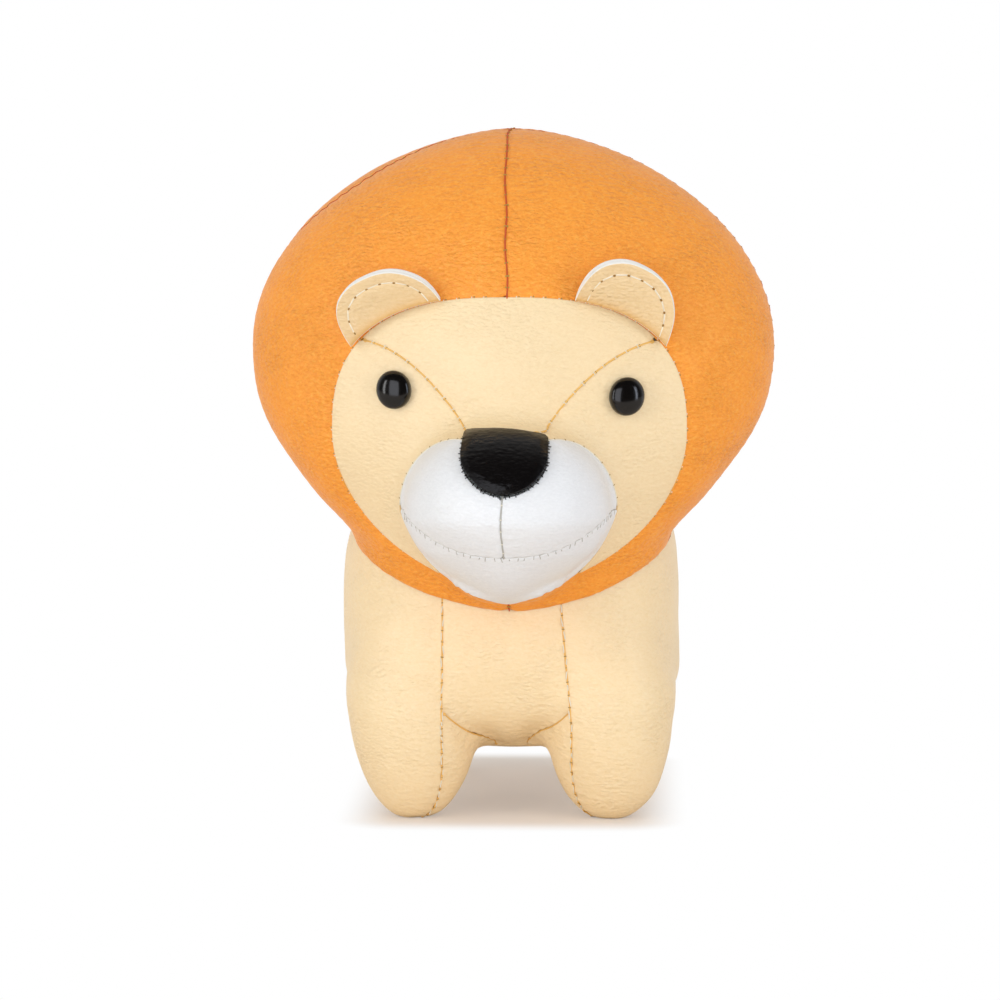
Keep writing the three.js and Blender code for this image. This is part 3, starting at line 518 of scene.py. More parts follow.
def along_seams(sheet):
    """For each point, how far along the nearest edge it lies, for the puckers."""
    loops = chains(open_edges(sheet.triangles))
    places = np.concatenate([sheet.points[loop] for loop in loops])
    distance = np.concatenate([lengths(sheet.points[loop]) + 100 * i for i, loop in enumerate(loops)])
    tangent = unit(np.roll(places, -1, axis=0) - np.roll(places, 1, axis=0))
    tree = KDTree(len(places))
    for i, place in enumerate(places):
        tree.insert(place, i)
    tree.balance()
    result = np.zeros(len(sheet.points))
    for i in np.flatnonzero(sheet.inset < PUCKER_REACH):
        _, near, _ = tree.find(sheet.points[i])
        result[i] = distance[near] + (sheet.points[i] - places[near]) @ tangent[near]
    return result


# Panels


def clouds(points, size, seed):
    """Smooth noise from about -1 to 1 with lumps of a given size."""
    offset = Vector((seed * 17.3, seed * 5.1, seed * 9.7))
    return np.array([noise.noise(Vector(p / size) + offset) for p in points])


def smoothed(sheet, values, rounds):
    """Values on a panel's points, evened out over their neighbours."""
    pairs = edges_of(sheet.triangles)
    count = np.bincount(pairs.ravel(), minlength=len(values))
    for _ in range(rounds):
        total = np.bincount(pairs[:, 0], values[pairs[:, 1]], len(values))
        total += np.bincount(pairs[:, 1], values[pairs[:, 0]], len(values))
        values = 0.5 * values + 0.5 * total / count
    return values


def by_seam(sheet, table):
    return np.array([table.get(label, 0.0) for label in sheet.label])


def padding(sheet, reach=2.6, swell=0.2, seed=1.0):
    """How far each point of a stuffed panel stands out of the form: it pulls in at the seams."""
    inset = sheet.inset
    along = along_seams(sheet)
    wobble = clouds(sheet.points, 6.0, seed)
    pull = smoothed(sheet, by_seam(sheet, DIP) * np.exp(-((inset / reach) ** 1.2)), 4)
    folds = np.cos(2 * math.pi * along / STITCH_PITCH + 2.2 * wobble)
    creases = by_seam(sheet, PUCKER) * np.exp(-inset / 2.2) * (folds + 0.9 * wobble)
    waves = swell * (clouds(sheet.points, 16.0, seed + 1) + 0.45 * clouds(sheet.points, 7.0, seed + 2))
    return creases + waves * (1 - np.exp(-inset / 3)) - pull


sheets = {}  # the panels by name, for the seams between them


def panel(name, form, region, body, slot, lift=None, thickness=SKIN, **pads):
    """One stuffed panel: cut from its form, pulled in at its seams and given its thickness."""
    sheet = cut(form, region)
    height = padding(sheet, **pads)
    if lift is not None:
        height = height + smoothed(sheet, lift(sheet), 3)
    sheet.points = sheet.points + height[:, None] * sheet.normals
    sheet.points[:, 2] = np.maximum(sheet.points[:, 2], 0.0)
    points, faces, rim = shell(sheet.points, sheet.triangles, sheet.normals, thickness, EDGE_ROLL)
    # The rolled edges take the seam colour: the dyed backing, and painted shade deep in the seam
    dye_and_shade = by_seam(sheet, SEAM_DYE_AND_SHADE)
    clean = np.zeros(len(dye_and_shade))
    dye_and_shade = np.concatenate([clean, 0.4 * dye_and_shade[rim], *([dye_and_shade[rim]] * (len(EDGE_ROLL) - 1)), clean])
    piece = made(name, points, faces, body, slot, dye_and_shade=dye_and_shade)
    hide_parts(name)
    sheet.body, sheet.slot = body, slot
    sheets[name] = sheet


# Materials


def colour(code):
    """An sRGB hex value as linear RGBA."""
    channels = [int(code[i : i + 2], 16) / 255 for i in (0, 2, 4)]
    linear = [c / 12.92 if c <= 0.04045 else ((c + 0.055) / 1.055) ** 2.4 for c in channels]
    return (*linear, 1.0)


def node(tree, kind, settings=None, **inputs):
    """Adds a node, or takes the tree's own of that name, and gives it its settings and inputs. An
    input is named or numbered; it is a value, a socket, or a node that gives its first output."""
    added = tree.nodes.get(kind) or tree.nodes.new(kind)
    for key, value in (settings or {}).items():
        setattr(added, key, value)
    for key, value in inputs.items():
        socket = added.inputs[int(key[1:])] if key[0] == "_" else added.inputs[key.replace("_", " ")]
        if isinstance(value, bpy.types.Node):
            value = value.outputs[0]
        if isinstance(value, bpy.types.NodeSocket):
            tree.links.new(value, socket)
        else:
            socket.default_value = value
    return added


def new_material(name):
    material = bpy.data.materials.new(name)
    material.use_nodes = True
    return material


# Sizes of the patterns in leatherette, in mm. The real pebble and flecks are about half these
# sizes: drawn coarser, since the picture has 0.2 mm to a pixel.
PEBBLE, CREASE, FLECK = 0.95, 0.8, 0.5
DRIFT, DRIFT_BY, PATCH = 4.0, 1.2, 9.0  # how the pattern wanders, and patches of deeper grain


def leatherette(name, base, light, dark, valley_dye_and_shade, depth, rough, gloss):
    """A pebble over fine creases that run across, with flecks, creases painted lighter and darker as
    highlight and shade, and a seam colour of dyed backing and painted shade.
    """
    material = new_material(name)
    tree = material.node_tree
    place = node(tree, "ShaderNodeTexCoord").outputs["Object"]
    drift = node(tree, "ShaderNodeTexNoise", Vector=place, Scale=1 / (DRIFT * MM), Detail=2.0)
    drifted = node(tree, "ShaderNodeVectorMath", {"operation": "MULTIPLY_ADD"},
                   _0=drift.outputs["Color"], _1=(DRIFT_BY * MM,) * 3, _2=place)
    stretched = node(tree, "ShaderNodeMapping", Vector=drifted, Scale=(0.75, 0.75, 1.5))
    pebble = node(tree, "ShaderNodeTexVoronoi", Vector=stretched, Scale=1 / (PEBBLE * MM))
    crease, fleck = (
        node(tree, "ShaderNodeTexNoise", Vector=stretched, Scale=1 / (size * MM), Detail=detail,
             Roughness=fineness)
        for size, detail, fineness in ((CREASE, 3.0, 0.6), (FLECK, 2.0, 0.7))
    )
    patch = node(tree, "ShaderNodeTexNoise", Vector=place, Scale=1 / (PATCH * MM), Detail=2.0)

    # The colour follows the flecks and also the creases: lighter on their ridges and darker in their
    # hollows, as painted highlight and shade
    flecks_and_crease_shade = node(tree, "ShaderNodeMath", {"operation": "MULTIPLY_ADD"}, _0=crease, _1=-0.5, _2=fleck)
    toned = node(tree, "ShaderNodeValToRGB", _0=flecks_and_crease_shade)
    stops = ((0.08, dark), (0.22, base), (0.28, base), (0.42, light))
    elements = toned.color_ramp.elements
    for _ in stops[2:]:
        elements.new(0.5)
    for element, (at, code) in zip(elements, stops):
        element.position, element.color = at, colour(code)
    # The rolled edges at the seams are painted in the seam colour: dyed backing, and painted shade in the
    # hollow
    dye_and_shade = node(tree, "ShaderNodeAttribute", {"attribute_name": "seam_dye_and_shade"}).outputs["Fac"]
    shaded = node(tree, "ShaderNodeMix", {"data_type": "RGBA"}, _0=dye_and_shade, _6=toned, _7=colour(valley_dye_and_shade))

    grain = node(tree, "ShaderNodeMath", {"operation": "MULTIPLY_ADD"}, _0=crease, _1=1.2, _2=pebble)
    strength = node(tree, "ShaderNodeMapRange", Value=patch, From_Min=0.35, From_Max=0.65, To_Min=0.35,
                    To_Max=0.8)
    bump = node(tree, "ShaderNodeBump", {"invert": True}, Height=grain, Strength=strength,
                Distance=depth * MM)
    node(tree, "Principled BSDF", Base_Color=shaded.outputs[2], Roughness=rough, Normal=bump, IOR=1.5,
         Specular_IOR_Level=gloss)
    return material


def plain(name, base, rough, **more):
    material = new_material(name)
    node(material.node_tree, "Principled BSDF", Base_Color=colour(base), Roughness=rough, **more)
    return material


# Leatherette: brushed polyester with a coloured polyurethane skin that a warm roller has embossed.
# The eye gets a soft satin shine, broken by the pebble and the creases. By kind: main, lighter and
# darker colour (the lighter and darker ones for the flecks, and painted on the crease ridges and
# hollows as highlight and shade), the seam colour (dyed backing and painted shade deep in a seam),
# depth of the grain in mm, roughness, and gloss.
LEATHERETTES = dict(
    # Orange, the deepest grain: the light spreads until no highlight is left
    mane=("fd9f35", "ffad45", "f6942e", "c8602a", 0.46, 0.45, 0.36),
    # Cream, drawn tight over the stuffing: smoother, with a wide pale sheen
    face=("f7dcae", "f9dfb3", "f5d8a8", "e6b058", 0.26, 0.45, 0.45),
    # White, the tightest: the grain all but goes, and the folds at its seams are painted grey, as shade
    muzzle=("ebebeb", "eeeeee", "e8e8e8", "c4bdb0", 0.14, 0.45, 0.4),
    # The same cream as the face, a little warmer, with golden seams: dyed backing and painted shade
    body=("fce2b4", "fde5ba", "f9deac", "e2aa50", 0.28, 0.45, 0.45),
    # Flat and not stretched, so it looks a shade deeper
    ear=("f1d2a1", "f4d6a8", "eecd99", "dc9c34", 0.32, 0.48, 0.4),
    # Black with a glazed finish: it mirrors the soft box as one broad band
    nose=("0a0707", "0d0a0a", "070505", "080606", 0.11, 0.25, 0.22),
)
leathers = {
    f"{kind}_leather": leatherette(f"{kind}_leatherette", *row) for kind, row in LEATHERETTES.items()
}

# The cut edge and back of the leatherette: brushed white polyester, dull like felt
backing = plain("white_backing_fibre", "f4f1ea", 0.95)

# Acrylic, moulded and polished: black, with small sharp reflections
eye_plastic = plain("eye_acrylic", "080504", 0.16, IOR=1.49)

# Polyethylene, moulded: milky and waxy
washer_plastic = plain("washer_polyethylene", "e8e8e4", 0.45, IOR=1.5)

# Polyester fibre, carded: white wool without any shine
fibre = plain("stuffing_polyester_fibre", "f4f4f0", 1.0)

# Polyester thread, spun and dyed: dull, its twist too fine to show
THREADS = dict(seam="efbd66", mane="c9531c", light="ede4d0", grey="b6b2a9", ear="f6ead4",
               face_edge="f2ab4c", muzzle_edge="efe4cf", olive="b09a44", white="f3efe6")
threads = {kind: plain(f"{kind}_thread", code, 0.7) for kind, code in THREADS.items()}
nose_thread = plain("nose_thread", "141010", 0.8)

# Holes that the needle punched through the skin: the eye sees a brown, shaded dot
needle_hole = plain("needle_hole", "b08c52", 0.8)
ear_hole = plain("ear_needle_hole", "9a702f", 0.8)


# Head

head = meshed(head_field, HEAD_SPAN, CELL)


def oval(x, rise, half_width, half_height, exponent):
    """Zero on an oval's outline, and -1 in its middle."""
    return (power(x / half_width, exponent) + power(rise / half_height, exponent)) ** (1 / exponent) - 1


def face_height(p):
    x, _, z = p.T
    rise = z - FACE_MID_Z
    upper = oval(x, rise, FACE_HALF_WIDTH, FACE_TOP, FACE_TOP_ROUND)
    return np.where(rise > 0, upper, oval(x, rise, FACE_HALF_WIDTH, FACE_DROP, FACE_DROP_ROUND))


def muzzle_height(p):
    x, _, z = p.T
    wide = MUZZLE_HALF_WIDTH + CHIN_MARGIN
    rise = z - MUZZLE_MID_Z
    side = np.maximum(np.abs(x) - MUZZLE_SHOULDER, 0) / (wide - MUZZLE_SHOULDER)
    upper = side**2 + (rise / MUZZLE_SEAM_RISE) ** 2 - 1
    # The chin's edge runs nearly straight to a point, then turns up at the corners of the mouth
    lower = 0.35 * np.abs(x) / wide + 0.65 * (np.abs(x) / wide) ** 4.5 - rise / CHIN_DROP - 1
    return np.where(rise > 0, upper, lower)


def brow_height(p):
    """The brow seams, which sag a little; the one on its own left starts nearer the middle."""
    x, _, z = p.T
    bridge = BRIDGE_HALF_WIDTH - 0.7 * (x > 0)
    along = clipped((np.abs(x) - bridge) / (BROW_HALF_WIDTH - bridge))
    sag = 2.4 * along * (1 - along) + np.where(x > 0, 1.6 * along**2 * (1 - along), 0)
    return BRIDGE_TOP_Z + (BROW_TOP_Z - BRIDGE_TOP_Z) * (1 - (1 - along) ** 2) - sag - z


def mouth_height(p):
    x, _, z = p.T
    across = np.minimum(np.abs(x) / MOUTH_HALF_WIDTH, 1)
    return MOUTH_END_Z - MOUTH_DIP * (1 - across**2.4) - z


def nose_place(p):
    """Across and up from the middle of the nose, which is sewn on a little askew."""
    x, _, z = p.T
    x = (x + 0.25) * 0.97
    c, s = math.cos(NOSE_TILT), math.sin(NOSE_TILT)
    return c * x - s * (z - NOSE_SIDE_Z), s * x + c * (z - NOSE_SIDE_Z)


def nose_sides(p):
    x, rise = nose_place(p)
    taper = (NOSE_HALF_WIDTH - NOSE_TOP_HALF_WIDTH) * clipped(rise / (NOSE_TOP_Z - NOSE_SIDE_Z))
    below = oval(x, rise, NOSE_HALF_WIDTH, NOSE_DROP + 0.3, NOSE_ROUND)
    return np.where(rise > 0, np.abs(x) / (NOSE_HALF_WIDTH - taper) - 1, below)


def nose_top(p):
    x, rise = nose_place(p)
    across = np.minimum(np.abs(x) / NOSE_TOP_HALF_WIDTH, 1)
    return rise - (NOSE_TOP_Z - NOSE_SIDE_Z) - NOSE_ARCH / 2 * (1 - across**2)


def rim_height(p):
    """The rim seam; it comes 7 mm forward high on the lion's own right side, where its edge shows."""
    x, y, z = p.T
    forward = 7.0 * hump(x + 31, 15) * clipped((z - 108) / 12)
    return y - RIM_LEAN * (z - DOME_MID_Z) + forward


def middle_height(p):
    """The middle seam, which wanders a little over the front."""
    x, y, z = p.T
    wander = np.interp(z, (45, 70, 105, 138), (-0.3, -0.6, -0.3, -1.3)) + 0.18 * np.sin(z / 2.1)
    return clipped((12 - y) / 12) * wander - x


head_left = seam(head, middle_height, "middle")
head_front = seam(head, rim_height, "rim")
face = seam(head, face_height, "face")
in_front = seam(head, lambda p: p[:, 1] - MUZZLE_SEAM_Y, "muzzle_back")
white = within(seam(head, muzzle_height, "muzzle"), in_front)
brow = seam(head, brow_height, "brow")
mouth = seam(head, mouth_height, "mouth")
nose_front = seam(head, lambda p: p[:, 1] - NOSE_REACH_Y, "nose_back")
nose = within(seam(head, nose_sides, "nose"), seam(head, nose_top, "nose_top"), nose_front)
off_body = seam(head, lambda p: -body_field(p), "neck")

whole_face = within(head_front, either(face, white))
mane = within(head_front, beyond(either(face, white)), off_body)
mane_back = within(beyond(head_front), off_body)
snout = within(white, head_front, beyond(nose))
cream = within(whole_face, beyond(white), beyond(nose))

# Pieces near the neck are given two bodies and a line between them; they are made unattached, where they
# stand
NECK_LINE = ("neck", "head", np.array([0, 0, 60.0]), np.array([0, -3.24, 64.32]))
SHOULDER_LINE = ("torso", "neck", np.array([0, 0, 38.5]), np.array([0, -6.6, 50.0]))


def mane_lift(sheet):
    """The mane bulges over its sewn lower edge and at the jowls, lies under the edges of face and
    muzzle, and is lifted beside the crown seam by what is folded under."""
    x, y, z = sheet.points.T
    at_face = (sheet.label == "face") | (sheet.label == "muzzle")
    low = 0.9 + 1.0 * hump(np.abs(x + 1) - 18, 10) * (y < 0)  # fullest on both sides of the chin
    bulge = low * hump(body_field(sheet.points), 2.4) * np.where(at_face, 1 - hump(sheet.inset, 1.5), 1)
    jowl = 0.9 * hump(z - 65, 7) * step((np.abs(x) - 28) / 10) - 0.3 * hump(x, 12) * (z > 120)
    ridge = 0.14 * hump(x + 3.3, 0.8) * (z > 108)
    return bulge + jowl + ridge - 0.35 * hump(sheet.inset, 1.3) * at_face


def chin_lift(sheet):
    """The chin is drawn to a point under the mouth."""
    x, _, z = sheet.points.T
    low = clipped((MUZZLE_MID_Z - 7 - z) / 8) * clipped(sheet.inset / 2.0)
    return -low * (0.3 + 1.3 * clipped((np.abs(x + 0.4) - 1.0) / 8))


def nose_lift(sheet):
    """The nose stands off the muzzle, and its lower edge is rolled."""
    return NOSE_RISE + 0.5 * hump(sheet.inset - 1.2, 0.8) * (sheet.label == "nose")


for side, own in OWN_SIDES:
    half = head_left if side > 0 else beyond(head_left)
    mane_half, back_half = within(half, mane), within(half, mane_back)
    panel(f"mane_front_{own}", head, mane_half, NECK_LINE, "mane_leather", lift=mane_lift, seed=2 + side)
    panel(f"mane_back_{own}", head, back_half, NECK_LINE, "mane_leather", seed=5 + side)
    panel(f"cheek_{own}", head, within(half, cream, beyond(brow)), "head", "face_leather", seed=8 + side)
    panel(f"muzzle_{own}", head, within(half, snout, mouth), "head", "muzzle_leather", seed=11 + side)
panel("forehead", head, within(cream, brow), "head", "face_leather", seed=14)
chin = within(white, head_front, beyond(mouth))
panel("chin", head, chin, "head", "muzzle_leather", lift=chin_lift, seed=15)
panel("nose", head, nose, "head", "nose_leather", lift=nose_lift, thickness=SKIN + NOSE_RISE, reach=0.8,
      swell=0.3, seed=16)


# Body

body = meshed(body_field, BODY_SPAN, CELL)


def strip_edge(p):
    """The strip's half width. Its own left edge is sewn closer in, more so towards the neck."""
    x, y, z = p.T
    closer = (1.5 + 1.9 * clipped((z - 20) / 25)) * clipped((2 - y) / 14)
    return STRIP_HALF_WIDTH - np.where(x > 0, closer, 0)


def strip_sides(p):
    x, y, _ = p.T
    past = np.clip((y - (TORSO_MID_Y + TORSO_HALF_LENGTH - STRIP_TAPER)) / STRIP_TAPER, 0, 0.995)
    return np.abs(x) - strip_edge(p) * np.sqrt(1 - past**2)


def inner_leg_side(p):
    x, _, z = p.T
    bend = np.sqrt(clipped(1 - (1 - np.clip(z, 0, FOOT_SEAM_Z) / FOOT_SEAM_Z) ** 2))
    edge = FOOT_SEAM_X - (FOOT_SEAM_X - STRIP_HALF_WIDTH) * bend
    return np.abs(x) - edge - strip_edge(p) + STRIP_HALF_WIDTH


def inner_leg_top(p):
    x, _, z = p.T
    return z - (CROTCH_Z - CROTCH_SLOPE * (strip_edge(p) - np.abs(x)))


def leg_ring(leg_y):
    return lambda p: np.hypot(np.abs(p[:, 0]) - LEG_X, p[:, 1] - leg_y) - LEG_ROOM


body_left = seam(body, lambda p: -p[:, 0], "middle")
off_head = seam(body, lambda p: -head_field(p), "neck")
strip_line = seam(body, strip_sides, "strip")
under_tail = seam(body, lambda p: p[:, 2] - STRIP_TOP_Z, "strip")
on_chest = seam(body, lambda p: p[:, 1] - STRIP_NECK_Y, "strip")
strip = within(strip_line, either(under_tail, on_chest))
leg_side = seam(body, inner_leg_side, "leg")
leg_top = seam(body, inner_leg_top, "crotch")
inner = {
    place: within(leg_side, leg_top, seam(body, leg_ring(leg_y), "leg_ring"))
    for place, leg_y in (("front", FRONT_LEG_Y), ("rear", REAR_LEG_Y))
}
off_legs = within(beyond(inner["front"]), beyond(inner["rear"]))

# At the crotch seams, at the tops of the legs and between them: x, z, half width and height, depth
FRONT_HOLLOWS = ((-6.5, 17.0, 3.6, 3.0, 0.6), (6.0, 17.5, 3.6, 3.0, 0.6), (-19, 26, 5, 2.2, 0.6),
                 (17, 27, 4, 2.2, 0.5), (1, 27, 6, 3, 0.4))


def hollows(sheet):
    """Soft hollows in the front, where the seams draw the stuffing in."""
    x, y, z = sheet.points.T
    total = np.zeros(len(x))
    for at_x, at_z, wide, high, deep in FRONT_HOLLOWS:
        total += deep * np.exp(-(((x - at_x) / wide) ** 2) - (((z - at_z) / high) ** 2))
    return -total * (y < 2)


def side_lift(sheet):
    """The stuffing leans to the lion's own right above the legs, and fills the top of each leg."""
    x, _, z = sheet.points.T
    right = 0.1 * step((z - 20) / 16) + 0.9 * hump(z - 27.0, 5)
    left = 0.5 * hump(z - 26.5, 4) - 0.35 * hump(z - 20, 4) - 1.3 * step((z - 23) / 16)
    left = left + 0.6 * hump(z - 5, 4)
    return clipped((np.abs(x) - 16) / 16) * np.where(x < 0, right, left) + hollows(sheet)


for side, own in OWN_SIDES:
    half = body_left if side > 0 else beyond(body_left)
    flank = within(half, off_head, beyond(strip), off_legs)
    panel(f"side_{own}", body, flank, SHOULDER_LINE, "body_leather", lift=side_lift, seed=20 + side)
    for place, region in inner.items():
        panel(f"inner_leg_{place}_{own}", body, within(half, region), "torso", "body_leather",
              lift=hollows, seed=23 + side)
chest = within(strip, off_head, off_legs)
panel("chest_belly_strip", body, chest, SHOULDER_LINE, "body_leather", lift=hollows, seed=26)


# Eyes


def met(field, start, way, reach):
    """Where a line from inside a form comes out of it."""
    near, far = 0.0, reach
    for _ in range(40):
        middle = (near + far) / 2
        if field(np.array([start + middle * way]))[0] < 0:
            near = middle
        else:
            far = middle
    return start + near * way


def face_at(x, z):
    start = np.array([x, RIM_LEAN * (z - DOME_MID_Z), z])
    return met(head_field, start, np.array([0.0, -1.0, 0.0]), FACE_DEPTH + 2 * MUZZLE_DEPTH)


def face_normal(point):
    return unit(slope(head_field, point[None]))[0]


def settled():
    """The object just made or turned, with its place, turn and size worked into its points."""
    bpy.ops.object.transform_apply(location=True, rotation=True, scale=True)
    return bpy.context.object


def dress(piece, material):
    piece.data.materials.clear()
    piece.data.materials.append(material)


def eye(own, side):
    """A domed head with a straight rim, on the stem that goes through the cheek."""
    bpy.ops.object.select_all(action="DESELECT")
    bpy.ops.mesh.primitive_circle_add(
        vertices=48, radius=STEM_RADIUS * MM, fill_type="NGON", location=(0, 0, -STEM_LENGTH * MM)
    )
    piece = settled()
    piece.name = f"eye_{own}"
    bpy.ops.object.mode_set(mode="EDIT")
    bpy.ops.mesh.select_all(action="SELECT")
    height, radius = -STEM_LENGTH, STEM_RADIUS
    profile = [
        (FIT_GAP, STEM_RADIUS),
        (FIT_GAP, EYE_RADIUS - EYE_BEVEL),
        (FIT_GAP + EYE_BEVEL, EYE_RADIUS),
    ]
    for angle in np.radians(np.linspace(0, 87, 16)):
        level = FIT_GAP + EYE_RIM + (EYE_HEIGHT - EYE_RIM) * math.sin(angle)
        profile.append((level, EYE_RADIUS * math.cos(angle)))
    for next_height, next_radius in profile:
        upwards = (0, 0, (next_height - height) * MM)
        bpy.ops.mesh.extrude_region_move(TRANSFORM_OT_translate={"value": upwards})
        share = next_radius / radius
        bpy.ops.transform.resize(value=(share, share, 1), center_override=(0, 0, next_height * MM))
        height, radius = next_height, next_radius
    bpy.ops.mesh.select_all(action="SELECT")
    bpy.ops.mesh.fill_holes(sides=0)
    bpy.ops.mesh.select_all(action="SELECT")
    bpy.ops.mesh.normals_make_consistent(inside=False)
    bpy.ops.transform.resize(value=(0.97, 1.05, 1), center_override=(0, 0, 0))  # taller than wide
    bpy.ops.object.mode_set(mode="OBJECT")
    bpy.ops.object.shade_smooth_by_angle(angle=math.radians(50))
    at = face_at(side * EYE_X + EYE_OFF, EYE_Z - side * EYE_ASKEW)
    turn = Vector((0, 0, 1)).rotation_difference(Vector(face_normal(at))).to_matrix().to_4x4()
    piece.matrix_world = Matrix.Translation(Vector((at + SHIFT) * MM)) @ turn
    settled()
    dress(piece, eye_plastic)
    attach(piece, "head")
    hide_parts(f"eye_{own}")


for side, own in OWN_SIDES:
    eye(own, side)
    dress(frame["nodes"][f"eye_washer_{own}"], washer_plastic)


# Stitches and threads


def stitch_form():
    """One stitch: a rounded bit of thread a unit long along X, a unit thick."""
    bpy.ops.object.select_all(action="DESELECT")
    bpy.ops.mesh.primitive_uv_sphere_add(segments=6, ring_count=6, radius=0.5, rotation=(0, math.pi / 2, 0))
    piece = settled()
    points = np.array([v.co for v in piece.data.vertices])
    faces = [list(p.vertices) for p in piece.data.polygons]
    bpy.data.objects.remove(piece)
    return points, faces


STITCH_POINTS, STITCH_FACES = stitch_form()


def copies(name, shapes, body, slot, material):
    """Copies of the stitch form, each given by its points, as one piece."""
    starts = range(0, len(shapes) * len(STITCH_POINTS), len(STITCH_POINTS))
    faces = [[start + j for j in face] for start in starts for face in STITCH_FACES]
    made(name, np.concatenate(shapes), faces, body, slot, material)


def stitches(name, run, body, slot, material, pitch, length, offset=0.0, lift=0.0, along=False,
             thread=THREAD, uneven=0.0):
    """Stitches at a pitch along a run, across the seam or along it, none quite like the next."""
    places, normals, ways = spaced(run, pitch, 0.5 + offset)
    across = np.cross(normals, ways)
    main, other = (ways, across) if along else (across, ways)
    shapes = []
    for i, (at, normal, m, o) in enumerate(zip(places, normals, main, other)):
        own_length = max(length * (1 + uneven * math.sin(5.1 * i) * math.cos(2.3 * i)), thread)
        at = at + uneven * 0.25 * pitch * math.sin(3.7 * i) * np.cross(normal, m)
        m = m + 0.5 * uneven * math.sin(7.3 * i) * o
        x = STITCH_POINTS[:, 0] * thread + np.sign(STITCH_POINTS[:, 0]) * (own_length - thread) / 2
        y, z = STITCH_POINTS[:, 1] * thread, STITCH_POINTS[:, 2] * thread
        shapes.append(at + lift * normal + np.outer(x, m) + np.outer(y, o) + np.outer(z, normal))
    if shapes:
        copies(name, shapes, body, slot, material)


def knots(name, run, size, body, slot, material):
    """A flat knot at each end of a run, where its thread is drawn into the next seam."""
    points, normals, _ = run
    shapes = []
    for end, inner_point in ((0, 1), (-1, -2)):
        normal = normals[end]
        at = points[end] + 0.35 * unit(points[end] - points[inner_point]) - 0.08 * normal
        shapes.append(at + size * (STITCH_POINTS - 0.6 * np.outer(STITCH_POINTS @ normal, normal)))
    copies(name, shapes, body, slot, material)


def cord_line(name, run, radius, lift, towards, body, slot, material, sides=6):
    """A thread that lies in a seam, as a thin closed tube, with its ends drawn into the next seam."""
    points, normals, outs = run
    points = points.copy()
    points[0] += 0.4 * unit(points[0] - points[2])
    points[-1] += 0.4 * unit(points[-1] - points[-3])
    middle = points + towards * outs + lift * normals
    across = unit(np.cross(normals, unit(np.gradient(points, axis=0))))
    angles = (2 * math.pi * np.arange(sides) / sides)[None, :, None]
    rings = middle[:, None] + radius * np.cos(angles) * across[:, None]
    rings = rings + radius * np.sin(angles) * normals[:, None]
    last = (len(points) - 1) * sides
    faces = [
        [i + j, i + (j + 1) % sides, i + sides + (j + 1) % sides, i + sides + j]
        for i in range(0, last, sides)
        for j in range(sides)
    ]
    faces += [list(range(sides))[::-1], list(range(last, last + sides))]
    made(name, rings.reshape(-1, 3), faces, body, slot, material)


def sew(name, panel_name, label, thread=None, stitch=None, hole=None, pitch=STITCH_PITCH, length=0.7,
        along=False, towards=0.0, lift=0.1, thick=0.22, uneven=0.3, cord=THREAD, sunk=0.0, knot=0.0,
        body=None):
    """One sewn seam: the thread that lies in it, its stitches, and the needle holes beside them. It
    moves as the panel does unless a body is given."""
    sheet, half = sheets[panel_name], HALF.get(label, SEAM_HALF)
    body, slot = body or sheet.body, sheet.slot
    for i, run in enumerate(runs(sheet, label)):
        line = (run[0] + (half + towards) * run[2], run[1], run[2])
        if thread:
            cord_line(f"{name}_thread_{i}", run, cord / 2, sunk, half, body, slot, thread)
        if knot:
            knots(f"{name}_knots_{i}", line, knot, body, slot, thread)
        if stitch:
            stitches(f"{name}_stitches_{i}", line, body, slot, stitch, pitch, length, lift=lift,
                     along=along, thread=thick, uneven=uneven)
        if hole:
            stitches(f"{name}_needle_holes_{i}", line, body, slot, hole, pitch, 0.5,
                     offset=0.5 if along else 0.18, lift=lift - 0.04, thread=0.26, uneven=uneven)


# Flat sheets: two plies to an ear, two to the strap of the tail and two to its tuft

PLY_GAP = 0.15  # from the middle between two plies to each
TOPSTITCH_PITCH, TOPSTITCH_INSET, TOPSTITCH_DEPTH = 2.8, 2.6, 0.16
EAR_RAYS = 72
EAR_BASE_LIFT = 1.4  # how far an ear's base stands off the face seam
EAR_PARED = 0.45  # how much thinner the back ply is cut at the base


def lattice(rows, columns):
    """The triangles of a lattice of points, row by row."""
    place = np.arange(rows * columns).reshape(rows, columns)
    a, b, c, d = (q.ravel() for q in (place[:-1, :-1], place[:-1, 1:], place[1:, 1:], place[1:, :-1]))
    return np.concatenate([np.stack([a, b, c], 1), np.stack([a, c, d], 1)])


def ply(name, points, triangles, body, slot, thickness, dye_and_shade=None, **sheet_facts):
    """A sheet of leatherette with cut edges: its finish on the front, white backing elsewhere."""
    a, b, c = points[triangles.T]
    cross = np.cross(b - a, c - a)
    normals = np.zeros_like(points)
    for corner in range(3):
        np.add.at(normals, triangles[:, corner], cross)
    outline, faces, _ = shell(points, triangles, unit(normals), thickness, RAW_EDGE)
    shown = np.zeros(len(outline))
    if dye_and_shade is not None:
        shown[: len(points)] = dye_and_shade
    piece = made(name, outline, faces, body, slot, dye_and_shade=shown)
    piece.data.materials.append(backing)
    piece.data.polygons.foreach_set("material_index", [int(i >= len(triangles)) for i in range(len(faces))])
    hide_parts(name)


def level_run(line, facing):
    """A run over a sheet that faces one way."""
    facings = np.repeat(facing[None], len(line), 0)
    return line, facings, facings


# The two ears weren't cut quite alike: height, how far the tip leans outwards, place along the seam
EAR_CUTS = {"left": (12.2, -1.4, -0.6), "right": (10.9, 1.2, -0.4)}


def ear_outline(t, own, side):
    height, tip, place = EAR_CUTS[own]
    c, s = np.cos(np.pi * t), clipped(np.sin(np.pi * t))
    rise = height * s ** (2 / EAR_ROUND)
    across = EAR_HALF_WIDTH * np.sign(c) * np.abs(c) ** (2 / EAR_ROUND)
    return np.stack([across + side * (tip * rise / height + place), rise], axis=-1)


